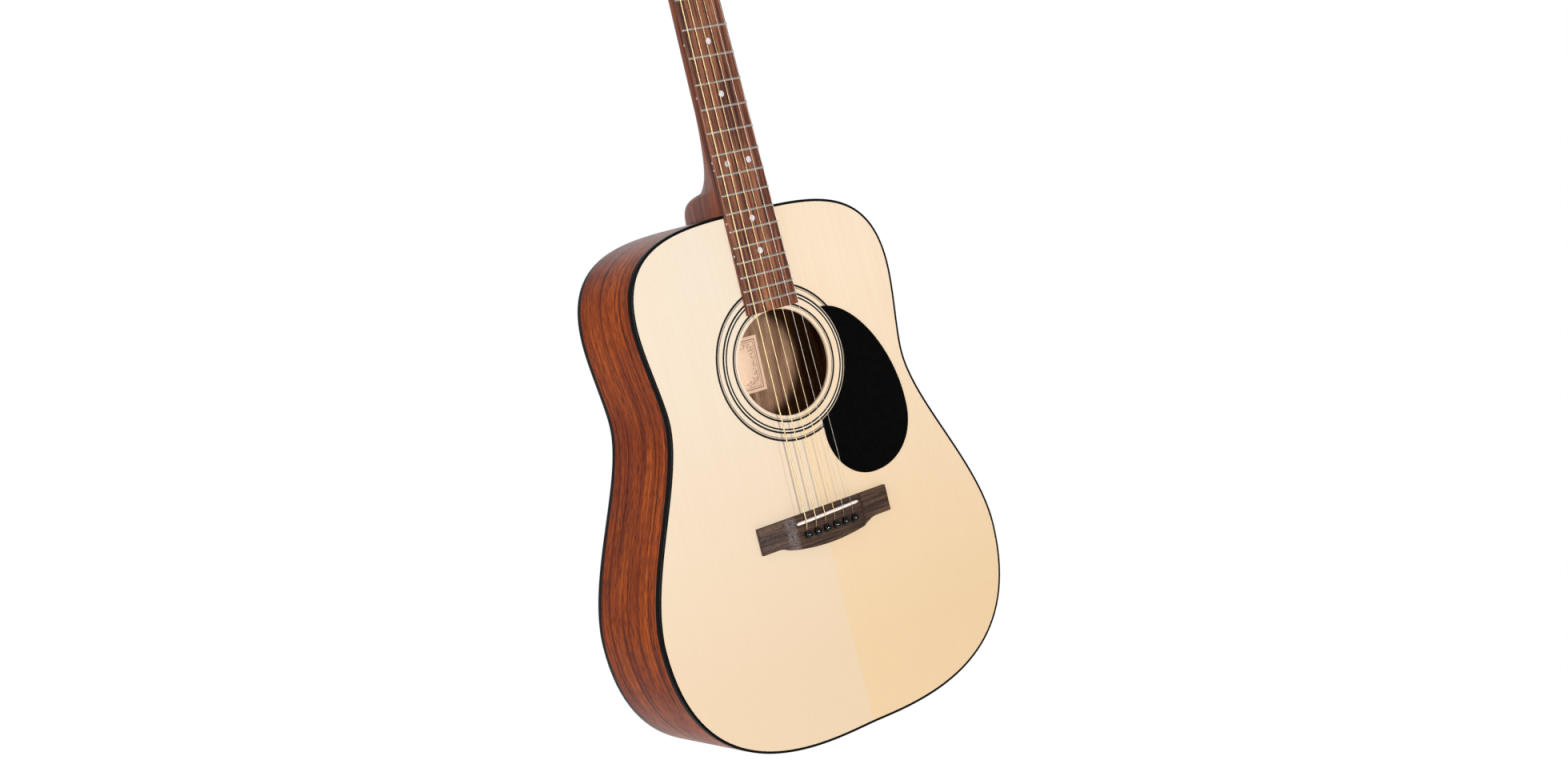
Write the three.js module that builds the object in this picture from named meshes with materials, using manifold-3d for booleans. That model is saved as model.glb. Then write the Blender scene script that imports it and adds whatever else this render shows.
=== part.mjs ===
// A six-string steel-string acoustic guitar of dreadnought shape, built up the way a luthier builds one.
//
// The guitar is drawn in the luthier's own frame, in millimetres: x runs across the strings to the treble side,
// y runs up the neck from the nut, and z comes out of the soundboard towards the player. The last lines stand that
// frame upright, so that the part has +Z up the neck and faces -Y, with its origin at the nut.
import * as THREE from "three";
import { mergeVertices } from "three/addons/utils/BufferGeometryUtils.js";
import Module from "manifold-3d";

const wasm = await Module();
wasm.setup();

// ---------------------------------------------------------------- driving dimensions

const fitGap = 0.3; // between pieces that meet on a curved or turned face

const scaleLength = 643;
const bodyJoinFret = 14;
const fretCount = 20;

// Body outline: length, then the distance down from the neck end and the half width of each bout and the waist.
const body = {
  length: 503,
  upperBout: { down: 82, half: 144.5 },
  waist: { down: 165.5, half: 136.5 },
  lowerBout: { down: 364, half: 198.5 },
  // How far each curve keeps the direction it starts or ends with.
  topFlat: 73,
  shoulder: 83,
  upperHold: 26,
  waistHoldAbove: 21.5,
  waistHoldBelow: 54,
  lowerHoldAbove: 68,
  lowerHoldBelow: 152,
  tailFlat: 47,
};
const depthAtNeck = 105;
const depthAtTail = 131;
const backArchRadius = 6000;

const topThickness = 3;
const backThickness = 2.5;
const sideThickness = 2.2;
const binding = { width: 2.5, height: 6.5, bevel: 0.8 };
const lining = { width: 6, height: 14, tip: 1.2 };

const soundhole = { radius: 50, belowBoard: 0.3 };
const rosette = { inside: 12.7, outside: 17.4, depth: 1.5 }; // out from the soundhole's edge

const neckBlock = { half: 38, aboveBrace: 8 };
const tailBlock = { half: 36, deep: 20 };
const tailWedge = { half: 7 };
const tenon = { half: 10, length: 28, front: 18.5, shortOfBack: 27 };

const nutWidth = 43;
const widthAtJoin = 53.6;
const nut = { thickness: 5, height: 7.5 };
const board = { thickness: 6, radius: 400, pastLastFret: 10.2 };
const fret = { height: 1.1, crown: 1.4, foot: 2.4 };

const shaft = { atNut: 15.5, atHeel: 17.5 }; // neck depth behind the fingerboard
const heel = { length: 96, half: 19, shortOfBack: 8, cap: 17 };

const head = {
  tilt: THREE.MathUtils.degToRad(14),
  thickness: 15,
  veneer: 2,
  length: 178,
  neckHalf: 22,
  shoulderUp: 24,
  shoulderHalf: 34,
  tipHalf: 36.5,
  tipDrop: 7,
};

const tuner = {
  first: 40, // up the headstock from the nut to the first post
  spacing: 40,
  inset: 11.5, // from the headstock's edge to a post's axis
  postRadius: 3.2,
  waistRadius: 2.8, // where the string winds
  postTop: 15,
  postHole: 4.4,
  plateThickness: 1.2,
  plateHalf: 7.5,
  plateEnd: 13,
  teeth: 14,
  pitch: 2, // the worm's lead and the gear's tooth spacing
  wormPitchRadius: 2.4,
  addendum: 0.55,
  dedendum: 0.8,
  threadLength: 6,
  gearThickness: 3,
  earThickness: 1.2,
  earOffset: 5.2,
  shaftRadius: 1.7,
  buttonGap: 7, // from the headstock's edge to the button
};
const button = { length: 17, width: 19, thickness: 8 };

const bridge = {
  aheadOfScale: 1, // its front edge, from the end of the scale
  half: 75.5,
  endDeep: 25.5,
  centreDeep: 34.2,
  bellyHalf: 50,
  wingStart: 38,
  height: 9,
  wingHeight: 4.6,
};
// The saddle lies a little beyond the scale length, more so on the bass side.
const saddle = { thickness: 2.8, half: 36.3, top: 12.6, seat: 4.5, bassBeyond: 6.2, trebleBeyond: 4.2 };
const pins = {
  beyondScale: 18.4,
  spread: 55.2,
  headRadius: 4.1,
  topRadius: 2.7,
  tipRadius: 2.2,
  below: 22,
};

const strings = { nutSpread: 36, saddleSpread: 54.4, clearance: 0.06, turns: 2 };
// Gauges from the high E to the low E.
const gauges = [0.305, 0.406, 0.61, 0.81, 1.07, 1.35];

const trussRod = { width: 5.6, depth: 8, axis: -7, short: 16.5, stubRadius: 1.9, nutRadius: 3.5, nutLength: 9 };
const strapButton = { shankRadius: 4, headRadius: 7, neckRadius: 4.6, head: 12 };

// ---------------------------------------------------------------- values that follow

const fretAt = (n) => -scaleLength * (1 - 2 ** (-n / 12));
const bodyTop = fretAt(bodyJoinFret);
const bodyTail = bodyTop - body.length;
const boardHalf = (y) =>
  nutWidth / 2 + ((widthAtJoin - nutWidth) / 2) * (y / bodyTop);
// Where a crowned piece of the fingerboard's radius drops to, at x from the centre line.
const crownDrop = (x) => (x * x) / (2 * board.radius);
// The outer face of the arched back.
const backZ = (x, y) =>
  -(depthAtNeck + ((depthAtTail - depthAtNeck) * (bodyTop - y)) / body.length) +
  (x * x) / (2 * backArchRadius);
const underTop = -topThickness;
const boardEnd = fretAt(fretCount) - board.pastLastFret;
const holeY = boardEnd - soundhole.belowBoard - soundhole.radius;
const rosetteInner = soundhole.radius + rosette.inside;
const rosetteOuter = soundhole.radius + rosette.outside;
const bridgeFront = -scaleLength + bridge.aheadOfScale;
const pinsY = -scaleLength - pins.beyondScale;
const pinHoleRadius = pins.topRadius + fitGap;
const rodEnd = bodyTop + trussRod.short;
const heelStart = bodyTop + heel.length;
const heelDepth = depthAtNeck - heel.shortOfBack;
const tenonBack = -depthAtNeck + tenon.shortOfBack;
const innerOffset = binding.width + fitGap;

// The saddle's line across the bridge: y at x from the centre line.
const saddleY = (x) =>
  -scaleLength -
  (saddle.bassBeyond + saddle.trebleBeyond) / 2 +
  ((saddle.bassBeyond - saddle.trebleBeyond) / (2 * saddle.half)) * x;

// ---------------------------------------------------------------- materials

const finish = (color, roughness, metalness = 0) =>
  new THREE.MeshStandardMaterial({ color, roughness, metalness });
const spruce = finish(0xf3dcb8, 0.42);
const spruceDark = finish(0xefd3a6, 0.42);
const braceSpruce = finish(0xe6cfa4, 0.8);
const mahogany = finish(0x7d3c1c, 0.38);
const insideMahogany = finish(0x8a5a3a, 0.8);
const neckWood = finish(0x7a3b20, 0.42);
const rosewood = finish(0x6a4433, 0.62);
const bridgeWood = finish(0x4a3730, 0.6);
const blackPlastic = finish(0x0c0c0e, 0.25);
const ivoryPlastic = finish(0xf1e4d8, 0.35);
const nickel = finish(0xc9ccd0, 0.22, 1);
const steel = finish(0x8f9296, 0.4, 1);
const plainSteel = finish(0xd6d7da, 0.25, 1);
const bronze = finish(0xc99a52, 0.3, 1);

// ---------------------------------------------------------------- making solids

const v3 = (x, y, z) => new THREE.Vector3(x, y, z);

// A closed surface from vertices and triangles, turned to face outwards.
function surface(vertices, triangles) {
  let volume = 0;
  for (const [a, b, c] of triangles)
    volume += vertices[a].dot(vertices[b].clone().cross(vertices[c]));
  const index = triangles.flatMap(([a, b, c]) =>
    volume < 0 ? [a, c, b] : [a, b, c],
  );
  const positions = new Float32Array(vertices.flatMap((p) => [p.x, p.y, p.z]));
  return new THREE.BufferGeometry()
    .setAttribute("position", new THREE.BufferAttribute(positions, 3))
    .setIndex(index);
}

// Skins a row of like sections. Open rows get a flat cap at each end; a loop joins its last section to its first.
function loft(sections, loop = false) {
  const count = sections[0].length;
  const rows = sections.length;
  const triangles = [];
  for (let i = 0; i < (loop ? rows : rows - 1); i++)
    for (let j = 0; j < count; j++) {
      const a = i * count + j;
      const b = i * count + ((j + 1) % count);
      const c = ((i + 1) % rows) * count + ((j + 1) % count);
      const d = ((i + 1) % rows) * count + j;
      triangles.push([a, b, c], [a, c, d]);
    }
  if (!loop)
    for (let j = 1; j < count - 1; j++) {
      const last = (rows - 1) * count;
      triangles.push([0, j + 1, j], [last, last + j, last + j + 1]);
    }
  return surface(sections.flat(), triangles);
}

// A tube through the points, with one radius for each point.
function tube(points, radii, sides) {
  const along = points.map((p, i) =>
    points[Math.min(i + 1, points.length - 1)]
      .clone()
      .sub(points[Math.max(i - 1, 0)])
      .normalize(),
  );
  let across = v3(1, 0, 0).cross(along[0]).normalize();
  return loft(
    points.map((p, i) => {
      across = across.sub(along[i].clone().multiplyScalar(across.dot(along[i]))).normalize();
      const other = along[i].clone().cross(across);
      return Array.from({ length: sides }, (_, k) => {
        const turn = (2 * Math.PI * k) / sides;
        return p
          .clone()
          .addScaledVector(across, radii[i] * Math.cos(turn))
          .addScaledVector(other, radii[i] * Math.sin(turn));
      });
    }),
  );
}

// A slab of a flat shape, from one height to another.
function slab(shape, low, high, curveSegments = 8) {
  return new THREE.ExtrudeGeometry(shape, {
    depth: high - low,
    bevelEnabled: false,
    curveSegments,
  }).translate(0, 0, low);
}

function block(x0, x1, y0, y1, z0, z1) {
  return new THREE.BoxGeometry(x1 - x0, y1 - y0, z1 - z0).translate(
    (x0 + x1) / 2,
    (y0 + y1) / 2,
    (z0 + z1) / 2,
  );
}

// A turned piece: the profile is radius against distance along the axis, which is +y of the result.
function turned(profile, segments) {
  return new THREE.LatheGeometry(
    profile.map(([r, y]) => new THREE.Vector2(r, y)),
    segments,
  );
}

function rod(radius, from, to, segments) {
  return turned([[0, from], [radius, from], [radius, to], [0, to]], segments);
}

function solid(geometry) {
  const bare = new THREE.BufferGeometry()
    .setAttribute("position", geometry.getAttribute("position"))
    .setIndex(geometry.getIndex());
  const merged = mergeVertices(bare, 1e-4);
  const made = new wasm.Manifold(
    new wasm.Mesh({
      numProp: 3,
      vertProperties: new Float32Array(merged.getAttribute("position").array),
      triVerts: new Uint32Array(merged.getIndex().array),
    }),
  );
  return made;
}

// A lathe profile may run either way round, so a turned solid is checked before it is joined or cut.
function turnedSolid(geometry) {
  const made = solid(geometry);
  if (made.volume() > 0) return made;
  const index = geometry.getIndex().array;
  const flipped = [];
  for (let i = 0; i < index.length; i += 3)
    flipped.push(index[i], index[i + 2], index[i + 1]);
  return solid(geometry.clone().setIndex(flipped));
}

function geometryOf(made) {
  const mesh = made.getMesh();
  const positions = new Float32Array(mesh.numVert * 3);
  for (let i = 0; i < mesh.numVert; i++)
    for (let k = 0; k < 3; k++)
      positions[3 * i + k] = mesh.vertProperties[mesh.numProp * i + k];
  return new THREE.BufferGeometry()
    .setAttribute("position", new THREE.BufferAttribute(positions, 3))
    .setIndex(Array.from(mesh.triVerts));
}

const join = (...geometries) =>
  geometryOf(geometries.map(turnedSolid).reduce((a, b) => a.add(b)));
const cut = (geometry, ...cutters) =>
  geometryOf(cutters.map(turnedSolid).reduce((a, b) => a.subtract(b), turnedSolid(geometry)));

// ---------------------------------------------------------------- the outline

// One half of the outline, from the neck end to the tail, as four curves of x against y.
const { upperBout, waist, lowerBout } = body;
const point = (x, down) => new THREE.Vector2(x, bodyTop - down);
const outlineCurves = [
  [
    new THREE.CubicBezierCurve(
      point(0, 0),
      point(body.topFlat, 0),
      point(upperBout.half, upperBout.down - body.shoulder),
      point(upperBout.half, upperBout.down),
    ),
    10,
  ],
  [
    new THREE.CubicBezierCurve(
      point(upperBout.half, upperBout.down),
      point(upperBout.half, upperBout.down + body.upperHold),
      point(waist.half, waist.down - body.waistHoldAbove),
      point(waist.half, waist.down),
    ),
    5,
  ],
  [
    new THREE.CubicBezierCurve(
      point(waist.half, waist.down),
      point(waist.half, waist.down + body.waistHoldBelow),
      point(lowerBout.half, lowerBout.down - body.lowerHoldAbove),
      point(lowerBout.half, lowerBout.down),
    ),
    9,
  ],
  [
    new THREE.CubicBezierCurve(
      point(lowerBout.half, lowerBout.down),
      point(lowerBout.half, lowerBout.down + body.lowerHoldBelow),
      point(body.tailFlat, body.length),
      point(0, body.length),
    ),
    13,
  ],
];

// The half outline as stations, each with its outward normal.
const halfOutline = outlineCurves.flatMap(([curve, steps], piece) => {
  const first = piece ? 1 : 0;
  return Array.from({ length: steps + 1 - first }, (_, k) => {
    const t = (k + first) / steps;
    const p = curve.getPoint(t);
    const along = curve.getTangent(t);
    return { x: p.x, y: p.y, nx: -along.y, ny: along.x };
  });
});

// The stations of one side between two distances from the centre line, at the neck end and at the tail.
function rimOf(side, neckX = 0, tailX = 0) {
  const between = (a, b, x) => {
    const t = (x - a.x) / (b.x - a.x);
    const mix = (p, q) => p + (q - p) * t;
    return { x, y: mix(a.y, b.y), nx: mix(a.nx, b.nx), ny: mix(a.ny, b.ny) };
  };
  const widest = halfOutline.findIndex((s) => s.x >= lowerBout.half - 1e-6);
  const stations = halfOutline.filter(
    (s, i) => (i < widest ? s.x > neckX : s.x > tailX) || (s.x === 0 && (i ? tailX : neckX) === 0),
  );
  if (neckX > 0) {
    const i = halfOutline.findIndex((s) => s.x > neckX);
    stations.unshift(between(halfOutline[i - 1], halfOutline[i], neckX));
  }
  if (tailX > 0) {
    const i = halfOutline.findLastIndex((s) => s.x > tailX);
    stations.push(between(halfOutline[i], halfOutline[i + 1], tailX));
  }
  return stations.map((s) => ({ x: side * s.x, y: s.y, nx: side * s.nx, ny: s.ny }));
}

// The whole outline as a loop of stations.
const wholeOutline = [...rimOf(1), ...rimOf(-1).slice(1, -1).reverse()];
const inwards = (s, offset) => [s.x - s.nx * offset, s.y - s.ny * offset];

function outlineShape(stations, offset) {
  return new THREE.Shape(
    stations.map((s) => new THREE.Vector2(...inwards(s, offset))),
  );
}

// How far a line from a point runs before it comes within a margin of the rim.
function reach(x, y, dx, dy, margin) {
  const rim = wholeOutline.map((s) => inwards(s, margin));
  const inside = (px, py) => {
    let odd = false;
    rim.forEach(([ax, ay], i) => {
      const [bx, by] = rim[(i + 1) % rim.length];
      if (ay > py !== by > py && px < ax + ((bx - ax) * (py - ay)) / (by - ay))
        odd = !odd;
    });
    return odd;
  };
  let near = 0;
  let far = body.length;
  for (let i = 0; i < 24; i++) {
    const middle = (near + far) / 2;
    if (inside(x + dx * middle, y + dy * middle)) near = middle;
    else far = middle;
  }
  return near;
}

// Sweeps a section round the rim. The section is a row of [offset inwards, height above the face there].
const sweepRim = (stations, face, section, loop) =>
  loft(
    stations.map((s) =>
      section.map(([offset, height]) => {
        const [x, y] = inwards(s, offset);
        return v3(x, y, face(x, y) + height);
      }),
    ),
    loop,
  );

// ---------------------------------------------------------------- the sound box

function stringAt(spread, n) {
  return spread * (0.5 - n / (gauges.length - 1));
}

// The space that a bridge pin and its string take up through the bridge, the soundboard and the bridge plate.
const stringBesidePin = (n) => pins.topRadius + fitGap + gauges[n] / 2;
function pinCutters() {
  const low = -40;
  const high = bridge.height + 2;
  return gauges.flatMap((gauge, n) => {
    const x = stringAt(pins.spread, n);
    const y = pinsY;
    const slotHalf = gauge / 2 + fitGap;
    return [
      rod(pinHoleRadius, low, high, 10).rotateX(Math.PI / 2).translate(x, y, 0),
      block(x - slotHalf, x + slotHalf, y, y + stringBesidePin(n) + slotHalf, low, high),
    ];
  });
}

// One bookmatched half of the top, with half the soundhole, a rosette groove and the holes of its bridge pins.
function soundboardHalf(side) {
  const edge = rimOf(side).map((s) => inwards(s, innerOffset));
  const shape = new THREE.Shape();
  shape.moveTo(0, edge[0][1]);
  for (const [x, y] of edge.slice(1, -1)) shape.lineTo(x, y);
  shape.lineTo(0, edge.at(-1)[1]);
  shape.lineTo(0, holeY - soundhole.radius);
  shape.absarc(0, holeY, soundhole.radius, -Math.PI / 2, Math.PI / 2, side < 0);
  const groove = turned(
    [
      [rosetteInner - fitGap, -rosette.depth - fitGap],
      [rosetteOuter + fitGap, -rosette.depth - fitGap],
      [rosetteOuter + fitGap, 1],
      [rosetteInner - fitGap, 1],
      [rosetteInner - fitGap, -rosette.depth - fitGap],
    ],
    48,
  )
    .rotateX(Math.PI / 2)
    .translate(0, holeY, 0);
  return cut(slab(shape, -topThickness, 0, 20), groove, ...pinCutters());
}

// The arched back: rings of vertices from the middle of the body out to the rim, on both faces.
function backPlate() {
  const rim = wholeOutline.map((s) => inwards(s, innerOffset));
  const middle = [0, bodyTop - body.length * 0.5];
  const shares = [0.4, 0.75, 1];
  const vertices = [];
  const triangles = [];
  const faces = [0, backThickness].map((lift) => {
    const start = vertices.length;
    vertices.push(v3(...middle, backZ(...middle) + lift));
    for (const share of shares)
      for (const [x, y] of rim) {
        const px = middle[0] + (x - middle[0]) * share;
        const py = middle[1] + (y - middle[1]) * share;
        vertices.push(v3(px, py, backZ(px, py) + lift));
      }
    return start;
  });
  const n = rim.length;
  faces.forEach((start, face) => {
    const add = (a, b, c) => triangles.push(face ? [a, c, b] : [a, b, c]);
    for (let j = 0; j < n; j++) {
      const k = (j + 1) % n;
      add(start, start + 1 + j, start + 1 + k);
      for (let r = 0; r < shares.length - 1; r++) {
        const inner = start + 1 + r * n;
        const outer = inner + n;
        add(inner + j, outer + j, outer + k);
        add(inner + j, outer + k, inner + k);
      }
    }
  });
  const lower = faces[0] + 1 + (shares.length - 1) * n;
  const upper = faces[1] + 1 + (shares.length - 1) * n;
  for (let j = 0; j < n; j++) {
    const k = (j + 1) % n;
    triangles.push([lower + j, upper + k, lower + k], [lower + j, upper + j, upper + k]);
  }
  return surface(vertices, triangles);
}

function sideStrip(side) {
  return loft(
    rimOf(side, tenon.half + 2 * fitGap, tailWedge.half + fitGap).map((s) => {
      const back = backZ(s.x, s.y) + binding.height + fitGap;
      const front = -binding.height - fitGap;
      return [
        v3(...inwards(s, 0), front),
        v3(...inwards(s, sideThickness), front),
        v3(...inwards(s, sideThickness), back),
        v3(...inwards(s, 0), back),
      ];
    }),
  );
}

function wedge() {
  const back = backZ(0, bodyTail) + binding.height + fitGap;
  const strip = block(
    -tailWedge.half,
    tailWedge.half,
    bodyTail,
    bodyTail + sideThickness,
    back,
    -binding.height - fitGap,
  );
  return cut(strip, shankHole());
}

// A binding strip in the rebate of one edge; out is 1 at the top and -1 at the back.
function bindingRing(face, out) {
  const section = [
    [binding.bevel, 0],
    [binding.width, 0],
    [binding.width, -out * binding.height],
    [0, -out * binding.height],
    [0, -out * binding.bevel],
  ];
  return sweepRim(wholeOutline, face, section, true);
}

// The glue strip inside one corner of the rim, drawn a margin larger when it is a cutter.
function liningRing(face, out, margin = 0) {
  const outer = innerOffset - margin;
  const foot = -out * (lining.height + margin);
  const section = [
    [outer, out * margin],
    [innerOffset + lining.width + margin, out * margin],
    [innerOffset + lining.tip + margin, foot],
    [outer, foot],
  ];
  return sweepRim(wholeOutline, face, section, true);
}
const topLiningFace = () => underTop;
const backLiningFace = (x, y) => backZ(x, y) + backThickness + fitGap;

// A block inside the rim, between the plates, that follows the end of the outline.
function endBlock(half, from, to) {
  const inside = slab(outlineShape(wholeOutline, innerOffset), -200, 200);
  const face = (y) => {
    const back = backZ(half, y) + backThickness + fitGap - (half * half) / (2 * backArchRadius) + 0.4;
    return [v3(-half, y, underTop), v3(half, y, underTop), v3(half, y, back), v3(-half, y, back)];
  };
  const bare = solid(loft([face(from), face(to)])).intersect(turnedSolid(inside));
  return cut(
    geometryOf(bare),
    liningRing(topLiningFace, 1, fitGap),
    liningRing(backLiningFace, -1, fitGap),
  );
}

function neckBlockSolid() {
  const mortise = block(
    -tenon.half - fitGap,
    tenon.half + fitGap,
    bodyTop - sideThickness - tenon.length - fitGap,
    bodyTop + 5,
    tenonBack - fitGap,
    -tenon.front + fitGap,
  );
  const foot = transverseY + brace.transverseWidth / 2 + neckBlock.aboveBrace;
  return cut(endBlock(neckBlock.half, bodyTop + 5, foot), mortise);
}

function tailBlockSolid() {
  return cut(endBlock(tailBlock.half, bodyTail - 5, bodyTail + tailBlock.deep), shankHole());
}

// ---------------------------------------------------------------- braces

// A brace under the soundboard, straight between two points, tapered at both ends.
function topBrace(x0, y0, x1, y1, width, height, endHeight = 3.5, taper = 45) {
  const length = Math.hypot(x1 - x0, y1 - y0);
  const dx = (x1 - x0) / length;
  const dy = (y1 - y0) / length;
  const section = (t, tall) =>
    [
      [-width / 2, 0],
      [width / 2, 0],
      [width / 4, -tall],
      [-width / 4, -tall],
    ].map(([across, z]) => v3(x0 + dx * t - dy * across, y0 + dy * t + dx * across, underTop + z));
  return loft([
    section(0, endHeight),
    section(taper, height),
    section(length - taper, height),
    section(length, endHeight),
  ]);
}

const brace = {
  crossing: 0.363, // share of the way from the soundhole to the bridge
  transverse: 24, // above the soundhole
  transverseWidth: 10,
  angle: THREE.MathUtils.degToRad(49), // of each leg from the centre line
  width: 8,
  height: 14,
  margin: 14,
};
const holeFoot = holeY - soundhole.radius;
const crossing = holeFoot + (bridgeFront - holeFoot) * brace.crossing;
const transverseY = holeY + soundhole.radius + brace.transverse;

// One leg of the X, notched for the other one: the bass leg from below, the treble leg from above.
function xBrace(side) {
  const dx = side * Math.sin(brace.angle);
  const dy = Math.cos(brace.angle);
  const up = reach(0, crossing, -dx, dy, brace.margin);
  const down = reach(0, crossing, dx, -dy, brace.margin);
  const leg = topBrace(-dx * up, crossing + dy * up, dx * down, crossing - dy * down, brace.width, brace.height);
  const notch = brace.width / 2 + fitGap;
  const lap = underTop - brace.height / 2;
  const high = side > 0 ? underTop + 5 : lap + fitGap / 2;
  const low = side > 0 ? lap - fitGap / 2 : underTop - brace.height - 5;
  const other = block(-notch, notch, -30, 30, low, high)
    .rotateZ(side * (Math.PI / 2 - brace.angle) + Math.PI / 2)
    .translate(0, crossing, 0);
  return cut(leg, other);
}

function toneBar(index) {
  const start = [[88, 118], [121, 163]][index];
  const angle = THREE.MathUtils.degToRad(21);
  const y = crossing - start[1];
  const length = Math.min(reach(start[0], y, -Math.cos(angle), -Math.sin(angle), brace.margin), 205);
  return topBrace(
    start[0],
    y,
    start[0] - length * Math.cos(angle),
    y - length * Math.sin(angle),
    6.5,
    11,
    3,
    35,
  );
}

function transverseBrace() {
  const half = reach(0, transverseY, 1, 0, brace.margin);
  return topBrace(-half, transverseY, half, transverseY, brace.transverseWidth, 18, 4, 40);
}

function bridgePlate() {
  const top = bridgeFront;
  const bottom = top - 40;
  const clear = (y) =>
    (crossing - y) * Math.tan(brace.angle) - (brace.width / 2 + 2) / Math.cos(brace.angle);
  const shape = new THREE.Shape([
    new THREE.Vector2(-clear(top), top),
    new THREE.Vector2(-clear(bottom) * 0.82, bottom),
    new THREE.Vector2(clear(bottom) * 0.82, bottom),
    new THREE.Vector2(clear(top), top),
  ]);
  return cut(slab(shape, underTop - 3, underTop), ...pinCutters());
}

// A brace across the arched back: the upper two are tall and narrow, the lower two are low and wide.
function backBrace(index) {
  const down = [72, 222, 318, 414][index];
  const [width, height] = index < 2 ? [8, 17] : [19, 10];
  const y = bodyTop - down;
  const half = reach(0, y, 1, 0, brace.margin);
  const stations = [-1, -0.78, -0.4, 0, 0.4, 0.78, 1];
  return loft(
    stations.map((share) => {
      const x = half * share;
      const tall = backLiningFace(x, y) + (Math.abs(share) === 1 ? 3.5 : height);
      return [
        v3(x, y - width / 2, backLiningFace(x, y - width / 2)),
        v3(x, y + width / 2, backLiningFace(x, y + width / 2)),
        v3(x, y + width / 4, tall),
        v3(x, y - width / 4, tall),
      ];
    }),
  );
}

// ---------------------------------------------------------------- bridge, saddle, pins, pickguard, rosette

const smooth = (t) => {
  const c = Math.min(1, Math.max(0, t));
  return c * c * (3 - 2 * c);
};

// The bridge's back edge bellies out behind the pins, and its wings are scooped thinner towards the ends.
function bridgeSolid() {
  const { half, wingStart, bellyHalf } = bridge;
  const xs = [half, half - 4, 66, 60, 55, bellyHalf, 45, wingStart, 34, 22, 10];
  const stations = [...xs.map((x) => -x), 0, ...[...xs].reverse()];
  const sections = stations.map((x) => {
    const a = Math.abs(x);
    const belly = a < bellyHalf ? Math.cos((a / bellyHalf) * (Math.PI / 2)) ** 0.8 : 0;
    const shoulder = 2.6 * (1 - smooth((a - 44) / 14));
    const back = bridgeFront - bridge.endDeep - shoulder - (bridge.centreDeep - bridge.endDeep - 2.6) * belly;
    const scoop = smooth((a - wingStart) / 9);
    const top = bridge.height + (bridge.wingHeight - bridge.height) * scoop;
    const edge = 0.8;
    return [
      v3(x, bridgeFront, 0),
      v3(x, bridgeFront, top - edge),
      v3(x, bridgeFront - edge, top),
      v3(x, back + edge, top),
      v3(x, back, top - edge),
      v3(x, back, 0),
    ];
  });
  return cut(loft(sections), saddleSolid(fitGap), ...pinCutters());
}

// The saddle lies across the bridge at the slant that the strings' intonation needs, and its top follows the frets.
function saddleSolid(margin = 0) {
  const half = saddle.half + margin;
  const thick = saddle.thickness / 2 + margin;
  const bottom = bridge.height - saddle.seat - margin;
  const stations = [-1, -0.975, -0.5, 0, 0.5, 0.975, 1];
  return loft(
    stations.map((share) => {
      const x = half * share;
      const y = saddleY(x);
      const t = Math.abs(share) === 1 ? thick * 0.45 : thick;
      const top = saddle.top - crownDrop(x) + (margin ? 5 : 0);
      return [
        v3(x, y - t, bottom),
        v3(x, y - t, top - 0.6),
        v3(x, y - t * 0.4, top),
        v3(x, y + t * 0.4, top),
        v3(x, y + t, top - 0.6),
        v3(x, y + t, bottom),
      ];
    }),
  );
}

// A bridge pin, along its own +y, with y = 0 where its collar meets the bridge.
function bridgePin() {
  return turned(
    [
      [0, -pins.below],
      [pins.tipRadius * 0.7, -pins.below],
      [pins.tipRadius, -pins.below + 1.5],
      [pins.topRadius, 1.9],
      [pins.headRadius * 0.8, 2.1],
      [pins.headRadius, 4],
      [pins.headRadius * 0.8, 6.1],
      [pins.headRadius * 0.4, 7.1],
      [0, 7.4],
    ],
    10,
  );
}

// A teardrop whose inner edge keeps to the rosette and whose foot stops short of the bridge.
const guard = {
  thickness: 1,
  offRosette: 0.4,
  tipAngle: THREE.MathUtils.degToRad(37.4),
  lowX: 25.4, // where the inner edge leaves the rosette
  sideX: 126,
  footX: 71,
  aboveBridge: 15,
};
function pickguard() {
  const radius = rosetteOuter + guard.offRosette;
  const tipX = radius * Math.cos(guard.tipAngle);
  const tipY = holeY + radius * Math.sin(guard.tipAngle);
  const footY = bridgeFront + guard.aboveBridge;
  const arcFoot = holeY - Math.sqrt(radius ** 2 - guard.lowX ** 2);
  const lowY = arcFoot + 0.21 * (footY - arcFoot);
  const sideY = holeY + 0.58 * (footY - holeY);
  const shape = new THREE.Shape();
  shape.moveTo(tipX, tipY);
  shape.bezierCurveTo(tipX + 36, tipY - 1, guard.sideX + 2, sideY + 58, guard.sideX, sideY);
  shape.bezierCurveTo(guard.sideX - 1, sideY - 31, guard.footX + 31, footY - 0.5, guard.footX, footY);
  shape.bezierCurveTo(guard.footX - 26, footY, guard.lowX - 0.5, lowY - 27, guard.lowX, lowY);
  shape.absarc(0, holeY, radius, Math.atan2(arcFoot - holeY, guard.lowX), guard.tipAngle, false);
  return slab(shape, 0, guard.thickness, 9);
}

function rosetteRing() {
  return turned(
    [
      [rosetteInner, -rosette.depth],
      [rosetteOuter, -rosette.depth],
      [rosetteOuter, 0],
      [rosetteInner, 0],
      [rosetteInner, -rosette.depth],
    ],
    48,
  )
    .rotateX(Math.PI / 2)
    .translate(0, holeY, 0);
}

// ---------------------------------------------------------------- strap button

const shankZ = backZ(0, bodyTail) / 2;
const shankHole = () =>
  rod(strapButton.shankRadius + fitGap, -5, tailBlock.deep + 8, 16)
    .translate(0, bodyTail, shankZ);

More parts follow.
